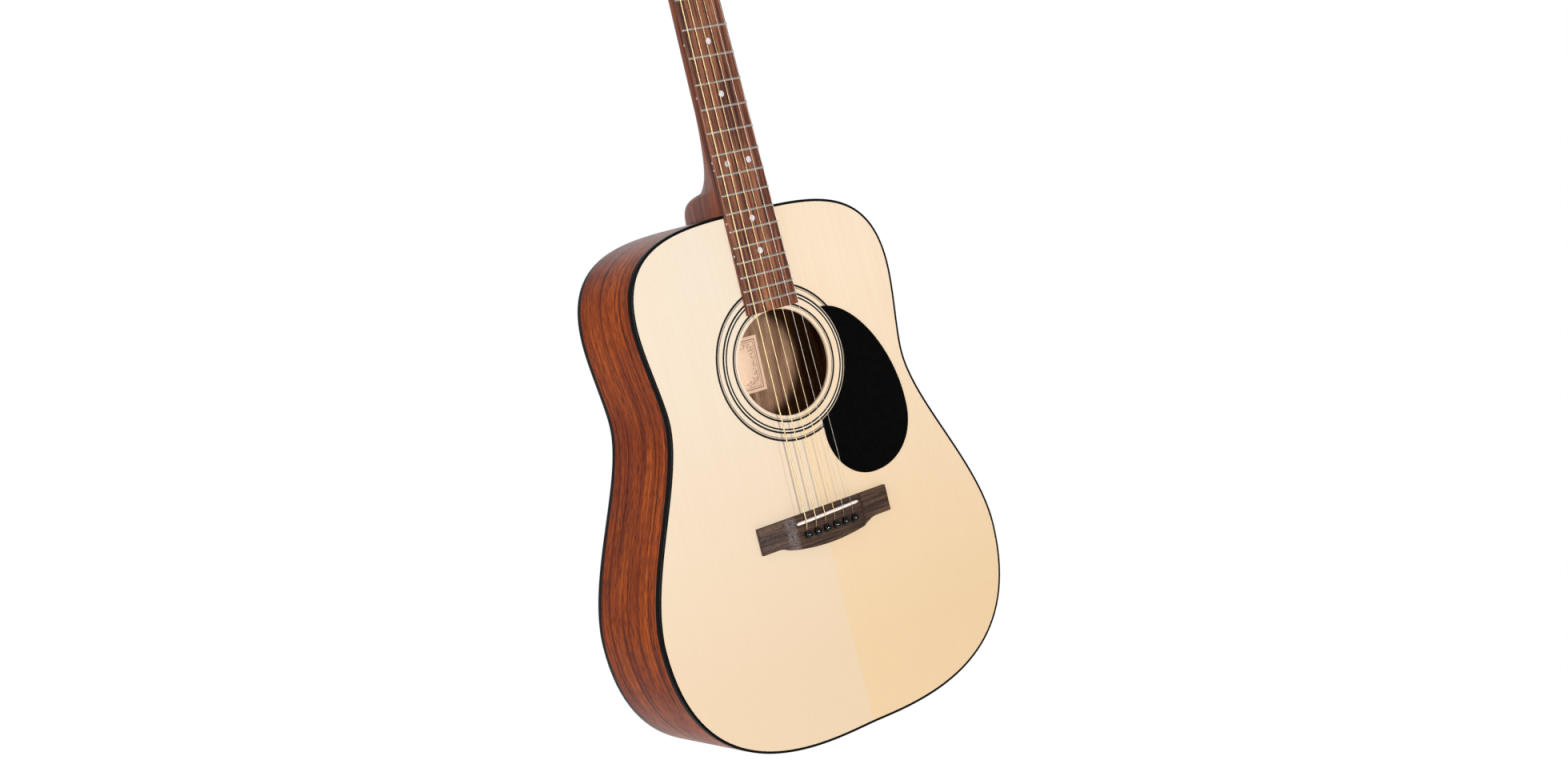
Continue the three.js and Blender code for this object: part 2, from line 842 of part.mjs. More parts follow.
function strapButtonSolid() {
  const { shankRadius, headRadius, neckRadius, head: length } = strapButton;
  return turned(
    [
      [0, -length],
      [headRadius * 0.7, -length],
      [headRadius, -length + 1.4],
      [headRadius, -length + 3.4],
      [neckRadius, -length + 5.5],
      [neckRadius, -2.5],
      [headRadius * 0.95, -fitGap - 0.6],
      [headRadius * 0.95, -fitGap],
      [shankRadius, -fitGap],
      [shankRadius * 0.85, tailBlock.deep + sideThickness - 4],
      [0, tailBlock.deep + sideThickness - 4],
    ],
    16,
  ).translate(0, bodyTail, shankZ);
}

// ---------------------------------------------------------------- headstock frame

// The headstock has a frame of its own: x across, y up its face, z out of its face. It starts behind the nut.
const headMatrix = new THREE.Matrix4()
  .makeRotationX(-head.tilt)
  .setPosition(0, nut.thickness + fitGap, 0);
const toHead = (x, y, z) => v3(x, y, z).applyMatrix4(headMatrix);
const woodFace = -head.veneer - fitGap;
const woodBack = woodFace - head.thickness;

function headShape(margin = 0) {
  const { neckHalf, shoulderUp, shoulderHalf, tipHalf, length, tipDrop } = head;
  const shape = new THREE.Shape();
  const low = 0;
  shape.moveTo(-neckHalf + margin, low);
  shape.lineTo(neckHalf - margin, low);
  shape.lineTo(neckHalf + 0.6 - margin, 5);
  shape.bezierCurveTo(
    neckHalf + 3 - margin, shoulderUp * 0.55,
    shoulderHalf - margin, shoulderUp * 0.6,
    shoulderHalf - margin, shoulderUp,
  );
  shape.lineTo(tipHalf - margin, length - 2 * tipDrop);
  shape.bezierCurveTo(
    tipHalf - margin, length - tipDrop,
    tipHalf - tipDrop, length - tipDrop - margin,
    tipHalf - 2 * tipDrop, length - tipDrop - margin,
  );
  shape.bezierCurveTo(tipHalf * 0.4, length - tipDrop - margin, tipHalf * 0.3, length - margin, 0, length - margin);
  shape.bezierCurveTo(
    -tipHalf * 0.3, length - margin,
    -tipHalf * 0.4, length - tipDrop - margin,
    -tipHalf + 2 * tipDrop, length - tipDrop - margin,
  );
  shape.bezierCurveTo(
    -tipHalf + tipDrop, length - tipDrop - margin,
    -tipHalf + margin, length - tipDrop,
    -tipHalf + margin, length - 2 * tipDrop,
  );
  shape.lineTo(-shoulderHalf + margin, shoulderUp);
  shape.bezierCurveTo(
    -shoulderHalf + margin, shoulderUp * 0.6,
    -neckHalf - 3 + margin, shoulderUp * 0.55,
    -neckHalf - 0.6 + margin, 5,
  );
  return shape;
}

// The string posts, from the high E round to the low E: three up the treble side and three up the bass side.
const posts = gauges.map((gauge, n) => {
  const side = n < 3 ? 1 : -1;
  const place = n < 3 ? n : gauges.length - 1 - n;
  const up = tuner.first + tuner.spacing * place;
  const edge =
    head.shoulderHalf +
    ((head.tipHalf - head.shoulderHalf) * (up - head.shoulderUp)) /
      (head.length - 2 * head.tipDrop - head.shoulderUp);
  return { side, place, up, x: side * (edge - tuner.inset), edge };
});
const postHoles = (radius, from, to) =>
  posts.map((p) => rod(radius, from, to, 12).rotateX(Math.PI / 2).translate(p.x, p.up, 0));

const rodPocket = () => block(-5.5, 5.5, -8, 22, woodFace - 9, 3);

function veneer() {
  return cut(
    slab(headShape(), -head.veneer, 0, 4),
    ...postHoles(tuner.postHole, -6, 6),
    rodPocket(),
  );
}

const coverLength = 40;
function rodCover() {
  const shape = new THREE.Shape();
  shape.moveTo(-8, 2);
  shape.lineTo(8, 2);
  shape.bezierCurveTo(13, 12, 9, 24, 5, coverLength - 8);
  shape.bezierCurveTo(3.5, coverLength - 2, -3.5, coverLength - 2, -5, coverLength - 8);
  shape.bezierCurveTo(-9, 24, -13, 12, -8, 2);
  return slab(shape, fitGap, fitGap + 1.8, 5);
}

// ---------------------------------------------------------------- neck

// A section of the neck at y: a flat face at z = 0 and a rounded back. The share runs from a plain oval to the
// heel's taper.
function neckSection(y, half, depth, taper) {
  const steps = 10;
  return Array.from({ length: steps + 1 }, (_, k) => {
    const turn = (Math.PI * k) / steps;
    const round = Math.sin(turn) ** 0.8;
    const cosine = Math.cos(turn);
    const ovalX = half * Math.sign(cosine) * Math.abs(cosine) ** 0.85;
    const heelHalf = half + (heel.half - half) * smooth(round * 0.98) ** 0.75;
    const heelX = heelHalf * Math.sign(cosine) * Math.abs(cosine) ** 0.45;
    return v3(ovalX + (heelX - ovalX) * taper, y, -depth * round);
  });
}

// The heel's side view as [y, depth]: a cove from the shaft, then a rounded corner onto the cap.
function heelProfile() {
  const end = bodyTop + fitGap;
  const cap = bodyTop + heel.cap;
  const deep = (share) => shaft.atHeel + (heelDepth - shaft.atHeel) * share;
  const side = new THREE.CurvePath();
  const at = (y, share) => new THREE.Vector2(y, deep(share));
  const corner = at(cap + 8.5, 0.46);
  side.add(new THREE.CubicBezierCurve(at(heelStart, 0), at(heelStart - 34, 0.02), at(cap + 17, 0.26), corner));
  side.add(new THREE.CubicBezierCurve(corner, at(cap + 5, 0.8), at(cap + 3, 0.99), at(end, 1)));
  const sampled = side.curves.flatMap((c, i) => c.getPoints(i ? 6 : 5).slice(i));
  return sampled.map((p) => [p.x, p.y]);
}

function neckSolid() {
  const rows = [];
  const shaftDepth = (y) => shaft.atNut + ((shaft.atHeel - shaft.atNut) * y) / heelStart;
  for (const y of [nut.thickness + 6, 0, heelStart * 0.32, heelStart * 0.66, heelStart + 12])
    rows.push(neckSection(y, boardHalf(Math.min(y, 0)), shaftDepth(Math.min(y, 0)), 0));
  for (const [y, depth] of heelProfile())
    rows.push(neckSection(y, boardHalf(y), depth, smooth((depth - shaft.atHeel) / 32)));
  const stem = loft(rows);
  const peg = block(
    -tenon.half,
    tenon.half,
    bodyTop - sideThickness - tenon.length,
    bodyTop + 4,
    tenonBack,
    -tenon.front,
  );
  const headBlank = slab(headShape(), woodBack, woodFace, 4).applyMatrix4(headMatrix);
  const face = block(-60, 60, -20, 0, -60, 40).applyMatrix4(headMatrix);
  const aboveHead = block(-60, 60, -0.5, 60, woodFace, 60).applyMatrix4(headMatrix);
  const wood = turnedSolid(stem)
    .subtract(turnedSolid(aboveHead))
    .add(solid(headBlank))
    .add(solid(peg));
  const channel = block(
    -trussRod.width / 2 - fitGap,
    trussRod.width / 2 + fitGap,
    rodEnd - fitGap,
    nut.thickness + 3,
    trussRod.axis - trussRod.depth / 2 - fitGap,
    5,
  );
  return cut(
    geometryOf(wood),
    channel,
    rodPocket().applyMatrix4(headMatrix),
    ...postHoles(tuner.postHole, -30, 6).map((g) => g.applyMatrix4(headMatrix)),
  );
}

function trussRodSolid() {
  const { width, depth, axis, stubRadius, nutLength } = trussRod;
  const bar = block(-width / 2, width / 2, rodEnd, 1, axis - depth / 2, axis + depth / 2);
  const stub = rod(stubRadius, -4, 1 + nutLength, 12).translate(0, 0, axis);
  return join(bar, stub);
}

function trussNut() {
  const { nutRadius, stubRadius, nutLength } = trussRod;
  const start = 1 + fitGap;
  const end = start + nutLength + 4;
  return turned(
    [
      [stubRadius + fitGap, start],
      [nutRadius, start],
      [nutRadius, end],
      [stubRadius + fitGap, end],
      [stubRadius + fitGap, start],
    ],
    12,
  ).translate(0, 0, trussRod.axis);
}

// The fingerboard with its frets: a crowned board whose top rises at each fret.
function fingerboard() {
  const across = [-1, -0.6, -0.2, 0.2, 0.6, 1];
  const row = (y, lift) => {
    const half = boardHalf(y);
    const top = across.map((share) => v3(half * share, y, board.thickness - crownDrop(half * share) + lift));
    return [v3(-half, y, 0), ...top, v3(half, y, 0)];
  };
  const rows = [row(0, 0)];
  for (let n = 1; n <= fretCount; n++) {
    const y = fretAt(n);
    rows.push(
      row(y + fret.foot / 2, 0),
      row(y + fret.crown / 2, fret.height),
      row(y - fret.crown / 2, fret.height),
      row(y - fret.foot / 2, 0),
    );
  }
  rows.push(row(boardEnd, 0));
  return loft(rows);
}

function nutSolid() {
  const stations = [-1, -0.5, 0, 0.5, 1];
  return loft(
    stations.map((share) => {
      const x = (nutWidth / 2) * share;
      const top = nut.height - crownDrop(x);
      return [
        v3(x, 0, 0),
        v3(x, 0, top),
        v3(x, nut.thickness * 0.5, top),
        v3(x, nut.thickness, top - 1.5),
        v3(x, nut.thickness, 0),
      ];
    }),
  );
}

// ---------------------------------------------------------------- tuners

const gearRadius = (tuner.teeth * tuner.pitch) / (2 * Math.PI);
const wormDistance = gearRadius + tuner.wormPitchRadius;
const plateBack = woodBack - fitGap - tuner.plateThickness;
const wormZ = plateBack - tuner.wormPitchRadius - tuner.addendum - 0.6;

// One thread of the worm, swept round the x axis. At phase 0 its crest is at x = 0 on the side that faces the gear.
function wormThread() {
  const perTurn = 10;
  const turns = tuner.threadLength / tuner.pitch;
  const crest = tuner.wormPitchRadius + tuner.addendum;
  const root = tuner.wormPitchRadius - tuner.dedendum - 0.4;
  const steps = Math.round(perTurn * turns);
  return loft(
    Array.from({ length: steps + 1 }, (_, i) => {
      const turn = (2 * Math.PI * (i - steps / 2)) / perTurn;
      const x = (tuner.pitch * turn) / (2 * Math.PI);
      const angle = Math.PI + turn;
      return [
        [root, -0.62],
        [crest, -0.2],
        [crest, 0.2],
        [root, 0.62],
      ].map(([r, dx]) => v3(x + dx, r * Math.cos(angle), r * Math.sin(angle)));
    }),
  );
}

// A tuning key along +x: worm, shaft and button. The button is at the end that the side says.
function tunerKey(post) {
  const { side, edge } = post;
  const centre = Math.abs(post.x);
  const innerEnd = -tuner.earOffset - tuner.earThickness;
  const buttonStart = edge + tuner.buttonGap - centre;
  const core = rod(tuner.wormPitchRadius - tuner.dedendum, innerEnd, tuner.earOffset - 0.9, 12);
  const stem = rod(tuner.shaftRadius, tuner.earOffset - 1.2, buttonStart + 3, 12);
  const collar = rod(tuner.wormPitchRadius, tuner.earOffset + 0.9, tuner.earOffset + 2.4, 12);
  const grip = loft(
    [
      [0, 0.42],
      [0.12, 0.74],
      [0.5, 1],
      [0.85, 0.9],
      [1, 0.5],
    ].map(([share, size]) =>
      Array.from({ length: 10 }, (_, k) => {
        const turn = (2 * Math.PI * k) / 10;
        return v3(
          (size * button.width * Math.cos(turn)) / 2,
          buttonStart + button.length * share,
          (size ** 0.6 * button.thickness * Math.sin(turn)) / 2,
        );
      }),
    ),
  );
  // The shaft parts are drawn along +y, then laid along the side's own direction.
  const laid = (g) => g.rotateZ((-side * Math.PI) / 2);
  return join(laid(core), wormThread(), laid(stem), laid(collar), laid(grip)).translate(
    post.x,
    post.up + wormDistance,
    wormZ,
  );
}

// The worm gear, with its teeth twisted to the thread's lead, in the plane of the worm.
function wormGear() {
  const { teeth, pitch, addendum, dedendum, gearThickness } = tuner;
  const twist = (pitch * (gearThickness / 2)) / (2 * Math.PI * tuner.wormPitchRadius * gearRadius);
  const face = (z, turnBy) => {
    const points = [];
    for (let k = 0; k < teeth; k++) {
      const middle = Math.PI / 2 + (2 * Math.PI * (k + 0.5)) / teeth + turnBy;
      for (const [r, wide] of [
        [gearRadius - dedendum, -0.62],
        [gearRadius + addendum, -0.24],
        [gearRadius + addendum, 0.24],
        [gearRadius - dedendum, 0.62],
      ]) {
        const turn = middle + wide / gearRadius;
        points.push(v3(r * Math.cos(turn), r * Math.sin(turn), z));
      }
    }
    return points;
  };
  const low = face(-gearThickness / 2, -twist);
  const high = face(gearThickness / 2, twist);
  const count = low.length;
  const vertices = [...low, ...high, v3(0, 0, -gearThickness / 2), v3(0, 0, gearThickness / 2)];
  const triangles = [];
  for (let j = 0; j < count; j++) {
    const k = (j + 1) % count;
    triangles.push([j, k, count + k], [j, count + k, count + j]);
    triangles.push([2 * count, k, j], [2 * count + 1, count + j, count + k]);
  }
  return surface(vertices, triangles);
}

// A string post with its gear, along +z at its place on the headstock.
function tunerPost(post) {
  const { postRadius, waistRadius, postTop, gearThickness } = tuner;
  const bottom = wormZ - gearThickness / 2 - 1.6;
  const pin = turned(
    [
      [0, bottom],
      [2.1, bottom],
      [2.1, wormZ],
      [postRadius, wormZ],
      [postRadius, postTop - 11],
      [waistRadius, postTop - 10],
      [waistRadius, postTop - 3.5],
      [postRadius, postTop - 2.5],
      [postRadius, postTop - 0.8],
      [postRadius - 0.8, postTop],
      [0, postTop],
    ],
    12,
  ).rotateX(Math.PI / 2);
  return join(pin, wormGear().translate(0, 0, wormZ)).translate(post.x, post.up, 0);
}

// The plate that carries one side's three tuners on the back of the headstock, with two bearing ears for each worm.
function tunerPlate(side) {
  const own = posts.filter((p) => p.side === side);
  const low = own.find((p) => p.place === 0);
  const high = own.find((p) => p.place === 2);
  const top = plateBack + tuner.plateThickness;
  const across = (p, x) => p.x + x;
  const base = loft([
    [low, low.up - tuner.plateEnd],
    [high, high.up + tuner.plateEnd + 3],
  ].map(([p, y]) => [
    v3(across(p, -tuner.plateHalf), y, plateBack),
    v3(across(p, tuner.plateHalf), y, plateBack),
    v3(across(p, tuner.plateHalf), y, top),
    v3(across(p, -tuner.plateHalf), y, top),
  ]));
  const ears = own.flatMap((p) =>
    [-1, 1].map((end) => {
      const x = p.x + end * tuner.earOffset;
      const y = p.up + wormDistance;
      const round = tuner.wormPitchRadius + 1.1;
      return block(
        x - tuner.earThickness / 2,
        x + tuner.earThickness / 2,
        y - round,
        y + round,
        wormZ - round,
        plateBack + 0.5,
      );
    }),
  );
  const bores = own.flatMap((p) => [
    rod(tuner.shaftRadius + fitGap, -12, 12, 12)
      .rotateZ(Math.PI / 2)
      .translate(p.x, p.up + wormDistance, wormZ),
    rod(tuner.postRadius + fitGap, -30, 0, 12).rotateX(Math.PI / 2).translate(p.x, p.up, 0),
  ]);
  return cut(join(base, ...ears), ...bores);
}

// ---------------------------------------------------------------- strings

// A string's line: ball end under the bridge plate, up beside its pin, over saddle and nut, and round its post.
function stringLine(n) {
  const radius = gauges[n] / 2;
  const post = posts[n];
  const pinX = stringAt(pins.spread, n);
  const saddleX = stringAt(strings.saddleSpread, n);
  const nutX = stringAt(strings.nutSpread, n);
  const lift = radius + strings.clearance;
  const pinY = pinsY + stringBesidePin(n);
  const saddleTop = saddle.top - crownDrop(saddleX) + lift;
  const nutTop = nut.height - crownDrop(nutX) + lift;
  const ballRadius = 1.7;
  const ballY = pinsY + pins.topRadius + fitGap + ballRadius;
  const under = underTop - 3 - fitGap;
  const line = [
    [v3(pinX, ballY, under - 3.6), radius],
    [v3(pinX, ballY, under - 3.4), ballRadius],
    [v3(pinX, ballY, under - 0.6), ballRadius],
    [v3(pinX, pinY, under - 0.2), radius],
    [v3(pinX, pinY, bridge.height - 0.6), radius],
    [v3(pinX, pinY + 0.7, bridge.height + 0.5 + radius), radius],
    [v3(saddleX, saddleY(saddleX) - 0.6, saddleTop - 0.06), radius],
    [v3(saddleX, saddleY(saddleX) + 0.6, saddleTop), radius],
    [v3(nutX, -0.2, nutTop), radius],
    [v3(nutX, nut.thickness * 0.5, nutTop), radius],
  ];
  // Where the string meets its post, and the way it winds, seen on the headstock's face.
  const leave = v3(nutX, nut.thickness * 0.5, nutTop).applyMatrix4(headMatrix.clone().invert());
  const perTurn = 8;
  const wrap = (tuner.waistRadius + fitGap + radius) / Math.cos(Math.PI / perTurn);
  const dx = leave.x - post.x;
  const dy = leave.y - post.up;
  const way = -post.side;
  const meet = Math.atan2(dy, dx) + way * Math.acos(wrap / Math.hypot(dx, dy));
  const top = tuner.postTop - 5;
  for (let i = 0; i <= perTurn * strings.turns; i++) {
    const turn = meet + (way * 2 * Math.PI * i) / perTurn;
    const down = (i / perTurn) * (2 * radius + 0.2);
    line.push([
      toHead(post.x + wrap * Math.cos(turn), post.up + wrap * Math.sin(turn), top - down),
      radius,
    ]);
  }
  return line;
}

function stringSolid(n) {
  const line = stringLine(n);
  return tube(
    line.map(([p]) => p),
    line.map(([, r]) => r),
    5,
  );
}

// ---------------------------------------------------------------- assembly

const guitar = new THREE.Group();
guitar.rotation.x = Math.PI / 2;
const headGroup = new THREE.Group();
headGroup.applyMatrix4(headMatrix);
guitar.add(headGroup);

function add(name, geometry, material, group = guitar) {
  const mesh = new THREE.Mesh(geometry, material);
  mesh.name = name;
  group.add(mesh);
  return mesh;
}

add("soundboard_bass", soundboardHalf(-1), spruce);
add("soundboard_treble", soundboardHalf(1), spruceDark);
add("back_plate", backPlate(), mahogany);
add("side_bass", sideStrip(-1), mahogany);
add("side_treble", sideStrip(1), mahogany);
add("tail_wedge", wedge(), blackPlastic);
add("top_binding", bindingRing(() => 0, 1), blackPlastic);
add("back_binding", bindingRing(backZ, -1), blackPlastic);
add("top_lining", liningRing(topLiningFace, 1), insideMahogany);
add("back_lining", liningRing(backLiningFace, -1), insideMahogany);
add("neck_block", neckBlockSolid(), insideMahogany);
add("tail_block", tailBlockSolid(), insideMahogany);

add("x_brace_bass", xBrace(-1), braceSpruce);
add("x_brace_treble", xBrace(1), braceSpruce);
add("tone_bar_upper", toneBar(0), braceSpruce);
add("tone_bar_lower", toneBar(1), braceSpruce);
add("transverse_brace", transverseBrace(), braceSpruce);
add("bridge_plate", bridgePlate(), insideMahogany);
for (let i = 0; i < 4; i++) add(`back_brace_${i + 1}`, backBrace(i), braceSpruce);

add("bridge", bridgeSolid(), bridgeWood);
add("saddle", saddleSolid(), ivoryPlastic);
add("pickguard", pickguard(), blackPlastic);
add("rosette_ring", rosetteRing(), blackPlastic);
add("strap_button", strapButtonSolid(), blackPlastic);

add("neck", neckSolid(), neckWood);
add("fingerboard", fingerboard(), rosewood);
add("nut", nutSolid(), ivoryPlastic);
add("truss_rod", trussRodSolid(), steel);
add("truss_rod_nut", trussNut(), steel);
add("headstock_veneer", veneer(), rosewood, headGroup);
add("truss_rod_cover", rodCover(), blackPlastic, headGroup);

add("tuner_plate_bass", tunerPlate(-1), nickel, headGroup);
add("tuner_plate_treble", tunerPlate(1), nickel, headGroup);
gauges.forEach((gauge, n) => {
  const pin = add(`bridge_pin_${n + 1}`, bridgePin(), blackPlastic);
  pin.rotation.x = Math.PI / 2;
  pin.position.set(stringAt(pins.spread, n), pinsY, bridge.height);
  add(`string_${n + 1}`, stringSolid(n), n < 2 ? plainSteel : bronze);
  add(`tuner_key_${n + 1}`, tunerKey(posts[n]), nickel, headGroup);
  add(`tuner_post_${n + 1}`, tunerPost(posts[n]), nickel, headGroup);
});

export default guitar;
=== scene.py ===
import math

import bmesh
import bpy
from mathutils import Matrix, Vector


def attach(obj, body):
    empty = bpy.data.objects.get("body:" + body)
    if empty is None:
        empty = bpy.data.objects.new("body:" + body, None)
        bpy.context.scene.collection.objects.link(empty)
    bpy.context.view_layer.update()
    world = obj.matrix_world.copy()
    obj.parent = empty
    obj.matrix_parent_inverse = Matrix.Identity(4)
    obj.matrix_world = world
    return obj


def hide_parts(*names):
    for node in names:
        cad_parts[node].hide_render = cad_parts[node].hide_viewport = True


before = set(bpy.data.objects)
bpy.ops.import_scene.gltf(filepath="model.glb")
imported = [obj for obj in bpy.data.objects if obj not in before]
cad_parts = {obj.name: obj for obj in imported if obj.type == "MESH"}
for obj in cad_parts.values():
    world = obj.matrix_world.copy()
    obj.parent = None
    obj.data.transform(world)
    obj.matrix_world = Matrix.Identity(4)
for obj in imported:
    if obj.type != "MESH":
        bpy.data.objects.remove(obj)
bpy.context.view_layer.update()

# Sizes are in millimetres, in the maker's own directions: x across the strings to the treble side,
# y up the neck from the nut, z out of the soundboard. place() turns them into the frame's metres.


def place(p):
    return Vector((p[0], -p[2], p[1])) / 1000


cameraSet = {
    "spot": (-0.9253, -1.4333, -0.3725),
    "right": (0.77985, -0.58033, -0.23465),
    "down": (-0.27989, 0.01203, -0.95996),
    "lens": 41.83,
    "shift": (-0.0548, 0.0616),
}


def makeCamera():
    data = bpy.data.cameras.new("camera")
    data.sensor_width = 36
    data.lens = cameraSet["lens"]
    data.shift_x, data.shift_y = cameraSet["shift"]
    data.clip_end = 50
    camera = bpy.data.objects.new("camera", data)
    right = Vector(cameraSet["right"]).normalized()
    up = -Vector(cameraSet["down"]).normalized()
    back = right.cross(up)
    turn = Matrix((right, up, back)).transposed().to_4x4()
    camera.matrix_world = Matrix.Translation(cameraSet["spot"]) @ turn
    bpy.context.scene.collection.objects.link(camera)
    bpy.context.scene.camera = camera


# A pale sweep stands behind the guitar and the rest of the room is dimmer. Each softbox: where it stands,
# what it looks at, its width and height, and its power.
lightSet = {
    "sweepAxis": (0.56, 0.81, -0.15),
    "sweepEdge": (0.42, 0.84),
    "sweep": 1.0,
    "room": 0.3,
    "floorRadius": 1.45, "floorLevel": -1.6,
    "key": ((-0.92, -3.1, -0.42), (0, 0, -0.55), 0.35, 0.35, 91),
    "second": ((0.62, -3.1, -0.45), (0, 0, -0.6), 0.22, 0.22, 20),
    "fillLeft": ((-2.6, -0.9, 0.1), (0, 0, -0.6), 1.2, 2.0, 17),
}


def softbox(name, spot, target, width, height, power):
    data = bpy.data.lights.new(name, "AREA")
    data.shape = "RECTANGLE"
    data.size, data.size_y = width, height
    data.energy = power
    lamp = bpy.data.objects.new(name, data)
    lamp.location = spot
    lamp.rotation_euler = (Vector(target) - Vector(spot)).to_track_quat("-Z", "Y").to_euler()
    bpy.context.scene.collection.objects.link(lamp)


def makeStudio():
    scene = bpy.context.scene
    scene.view_settings.view_transform = "Standard"
    world = bpy.data.worlds.new("studio")
    scene.world = world
    world.use_nodes = True
    tree = world.node_tree
    way = addNode(tree, "ShaderNodeTexCoord").outputs["Generated"]
    facing = addNode(
        tree, "ShaderNodeVectorMath", {0: way, 1: lightSet["sweepAxis"]}, operation="DOT_PRODUCT"
    )
    start, end = lightSet["sweepEdge"]
    bright = addNode(
        tree, "ShaderNodeMapRange",
        {"Value": facing.outputs["Value"], "From Min": start, "From Max": end,
         "To Min": lightSet["room"], "To Max": lightSet["sweep"]},
        interpolation_type="SMOOTHSTEP",
    )
    backdrop = tree.nodes["Background"]
    backdrop.inputs["Color"].default_value = (1, 1, 1, 1)
    tree.links.new(bright.outputs[0], backdrop.inputs["Strength"])
    for name in ("key", "second", "fillLeft"):
        softbox(name, *lightSet[name])


def toLinear(hexColour):
    parts = [int(hexColour[i : i + 2], 16) / 255 for i in (1, 3, 5)]
    return tuple(c / 12.92 if c <= 0.04045 else ((c + 0.055) / 1.055) ** 2.4 for c in parts) + (1,)


def addNode(tree, kind, inputs=None, **settings):
    node = tree.nodes.new(kind)
    for key, value in settings.items():
        if key == "ramp":
            stops = node.color_ramp.elements
            while len(stops) < len(value):
                stops.new(0.5)
            for stop, (spot, colour) in zip(stops, value):
                stop.position = spot
                stop.color = toLinear(colour) if isinstance(colour, str) else (colour,) * 3 + (1,)
        else:
            setattr(node, key, value)
    for key, value in (inputs or {}).items():
        if isinstance(value, bpy.types.NodeSocket):
            tree.links.new(value, node.inputs[key])
        else:
            node.inputs[key].default_value = value
    return node


def outOf(tree, kind, inputs=None, **settings):
    return addNode(tree, kind, inputs, **settings).outputs[0]


def worked(tree, operation, first, second):
    return outOf(tree, "ShaderNodeMath", {0: first, 1: second}, operation=operation)


def vector(tree, **parts):
    return outOf(tree, "ShaderNodeCombineXYZ", parts)


def objectPlace(tree):
    return addNode(tree, "ShaderNodeTexCoord").outputs["Object"]


def newMaterial(name, **values):
    material = bpy.data.materials.new(name)
    material.use_nodes = True
    tree = material.node_tree
    shader = tree.nodes["Principled BSDF"]
    for key, value in values.items():
        shader.inputs[key.replace("_", " ")].default_value = value
    return material, tree, shader


# A wood is drawn along its grain: dark streaks, fine lines and short pores stretched along it, over slow
# changes of colour. Widths are in millimetres; a streak is 40 times as long as wide, a fleck 9 times.
def wood(name, look, source="Object", grain="Z", tilt=0.0):
    material, tree, shader = newMaterial(name, Roughness=look["roughness"], IOR=1.5)
    shader.inputs["Specular IOR Level"].default_value = look["gloss"]
    if "coat" in look:  # a clear lacquer film
        shader.inputs["Coat Weight"].default_value = look["coat"]
        shader.inputs["Coat Roughness"].default_value = 0.22
    coordinates = addNode(tree, "ShaderNodeTexCoord").outputs[source]
    if tilt:
        coordinates = outOf(tree, "ShaderNodeMapping", {"Vector": coordinates, "Rotation": (tilt, 0, 0)})
    unit = 1000 if source == "Object" else 1  # a piece's own grain map is already in millimetres

    def pattern(width, longer, detail=3, distortion=0.0, shift=0.0):
        scale = [unit / width] * 3
        scale["XYZ".index(grain)] /= longer
        spot = addNode(
            tree, "ShaderNodeMapping", {"Vector": coordinates, "Scale": scale, "Location": (shift,) * 3}
        )
        return addNode(
            tree, "ShaderNodeTexNoise",
            {
                "Vector": spot.outputs[0], "Scale": 1.0, "Detail": detail, "Roughness": 0.55,
                "Distortion": distortion
            },
        ).outputs["Fac"]

    def level(value, low, high, depth):
        limits = {"From Min": low, "From Max": high, "To Min": 1 - depth, "To Max": 1.0}
        return outOf(tree, "ShaderNodeMapRange", {"Value": value, **limits})

    def mixed(share, first, second, blend="MIX"):
        node = addNode(tree, "ShaderNodeMix", data_type="RGBA", blend_type=blend)
        for socket, value in ((0, share), (6, first), (7, second)):
            if isinstance(value, bpy.types.NodeSocket):
                tree.links.new(value, node.inputs[socket])
            else:
                node.inputs[socket].default_value = value
        return node.outputs[2]

    streaks = pattern(look["streak"], 40, 4, 0.5)
    rare, spread = look.get("rare", 0.5), look["spread"]
    stops = [(rare - spread, look["dark"]), (rare, look["middle"]), (0.5 + spread, look["light"])]
    base = outOf(tree, "ShaderNodeValToRGB", {"Fac": streaks}, ramp=stops)
    slowly = {"Value": pattern(look["blotch"], 4, 2, shift=7.3), "From Min": 0.38, "From Max": 0.62}
    slow = outOf(tree, "ShaderNodeMapRange", {**slowly, "To Max": look["slowShare"]})
    base = mixed(slow, base, toLinear(look["slowColour"]))
    # painted shade: the board's tone is mixed toward a darker colour from z -0.42 m to -0.78 m, toward the
    # tail, standing in for the light falling off there
    if "shadeTowardTail" in look:
        up = addNode(tree, "ShaderNodeSeparateXYZ", {0: coordinates}).outputs["Z"]
        low = addNode(tree, "ShaderNodeMapRange", {"Value": up, "From Min": -0.42, "From Max": -0.78})
        base = mixed(low.outputs[0], base, toLinear(look["shadeTowardTail"]))
    lines = level(pattern(look["fine"], 60, 2), 0.35, 0.6, look["fineDepth"])
    flecks = level(pattern(look["fleck"], 9, 2, shift=3.1), 0.36, 0.56, look["fleckDepth"])
    shade = worked(tree, "MULTIPLY", lines, flecks)
    tree.links.new(mixed(1.0, base, shade, "MULTIPLY"), shader.inputs["Base Color"])
    sheen = addNode(
        tree, "ShaderNodeMapRange",
        {"Value": shade, "From Min": 0.5, "To Min": look["roughness"] + 0.12, "To Max": look["roughness"]},
    )
    tree.links.new(sheen.outputs[0], shader.inputs["Roughness"])
    bump = addNode(tree, "ShaderNodeBump", {"Height": shade, "Strength": look["bump"], "Distance": 0.0002})
    tree.links.new(bump.outputs[0], shader.inputs["Normal"])
    return material


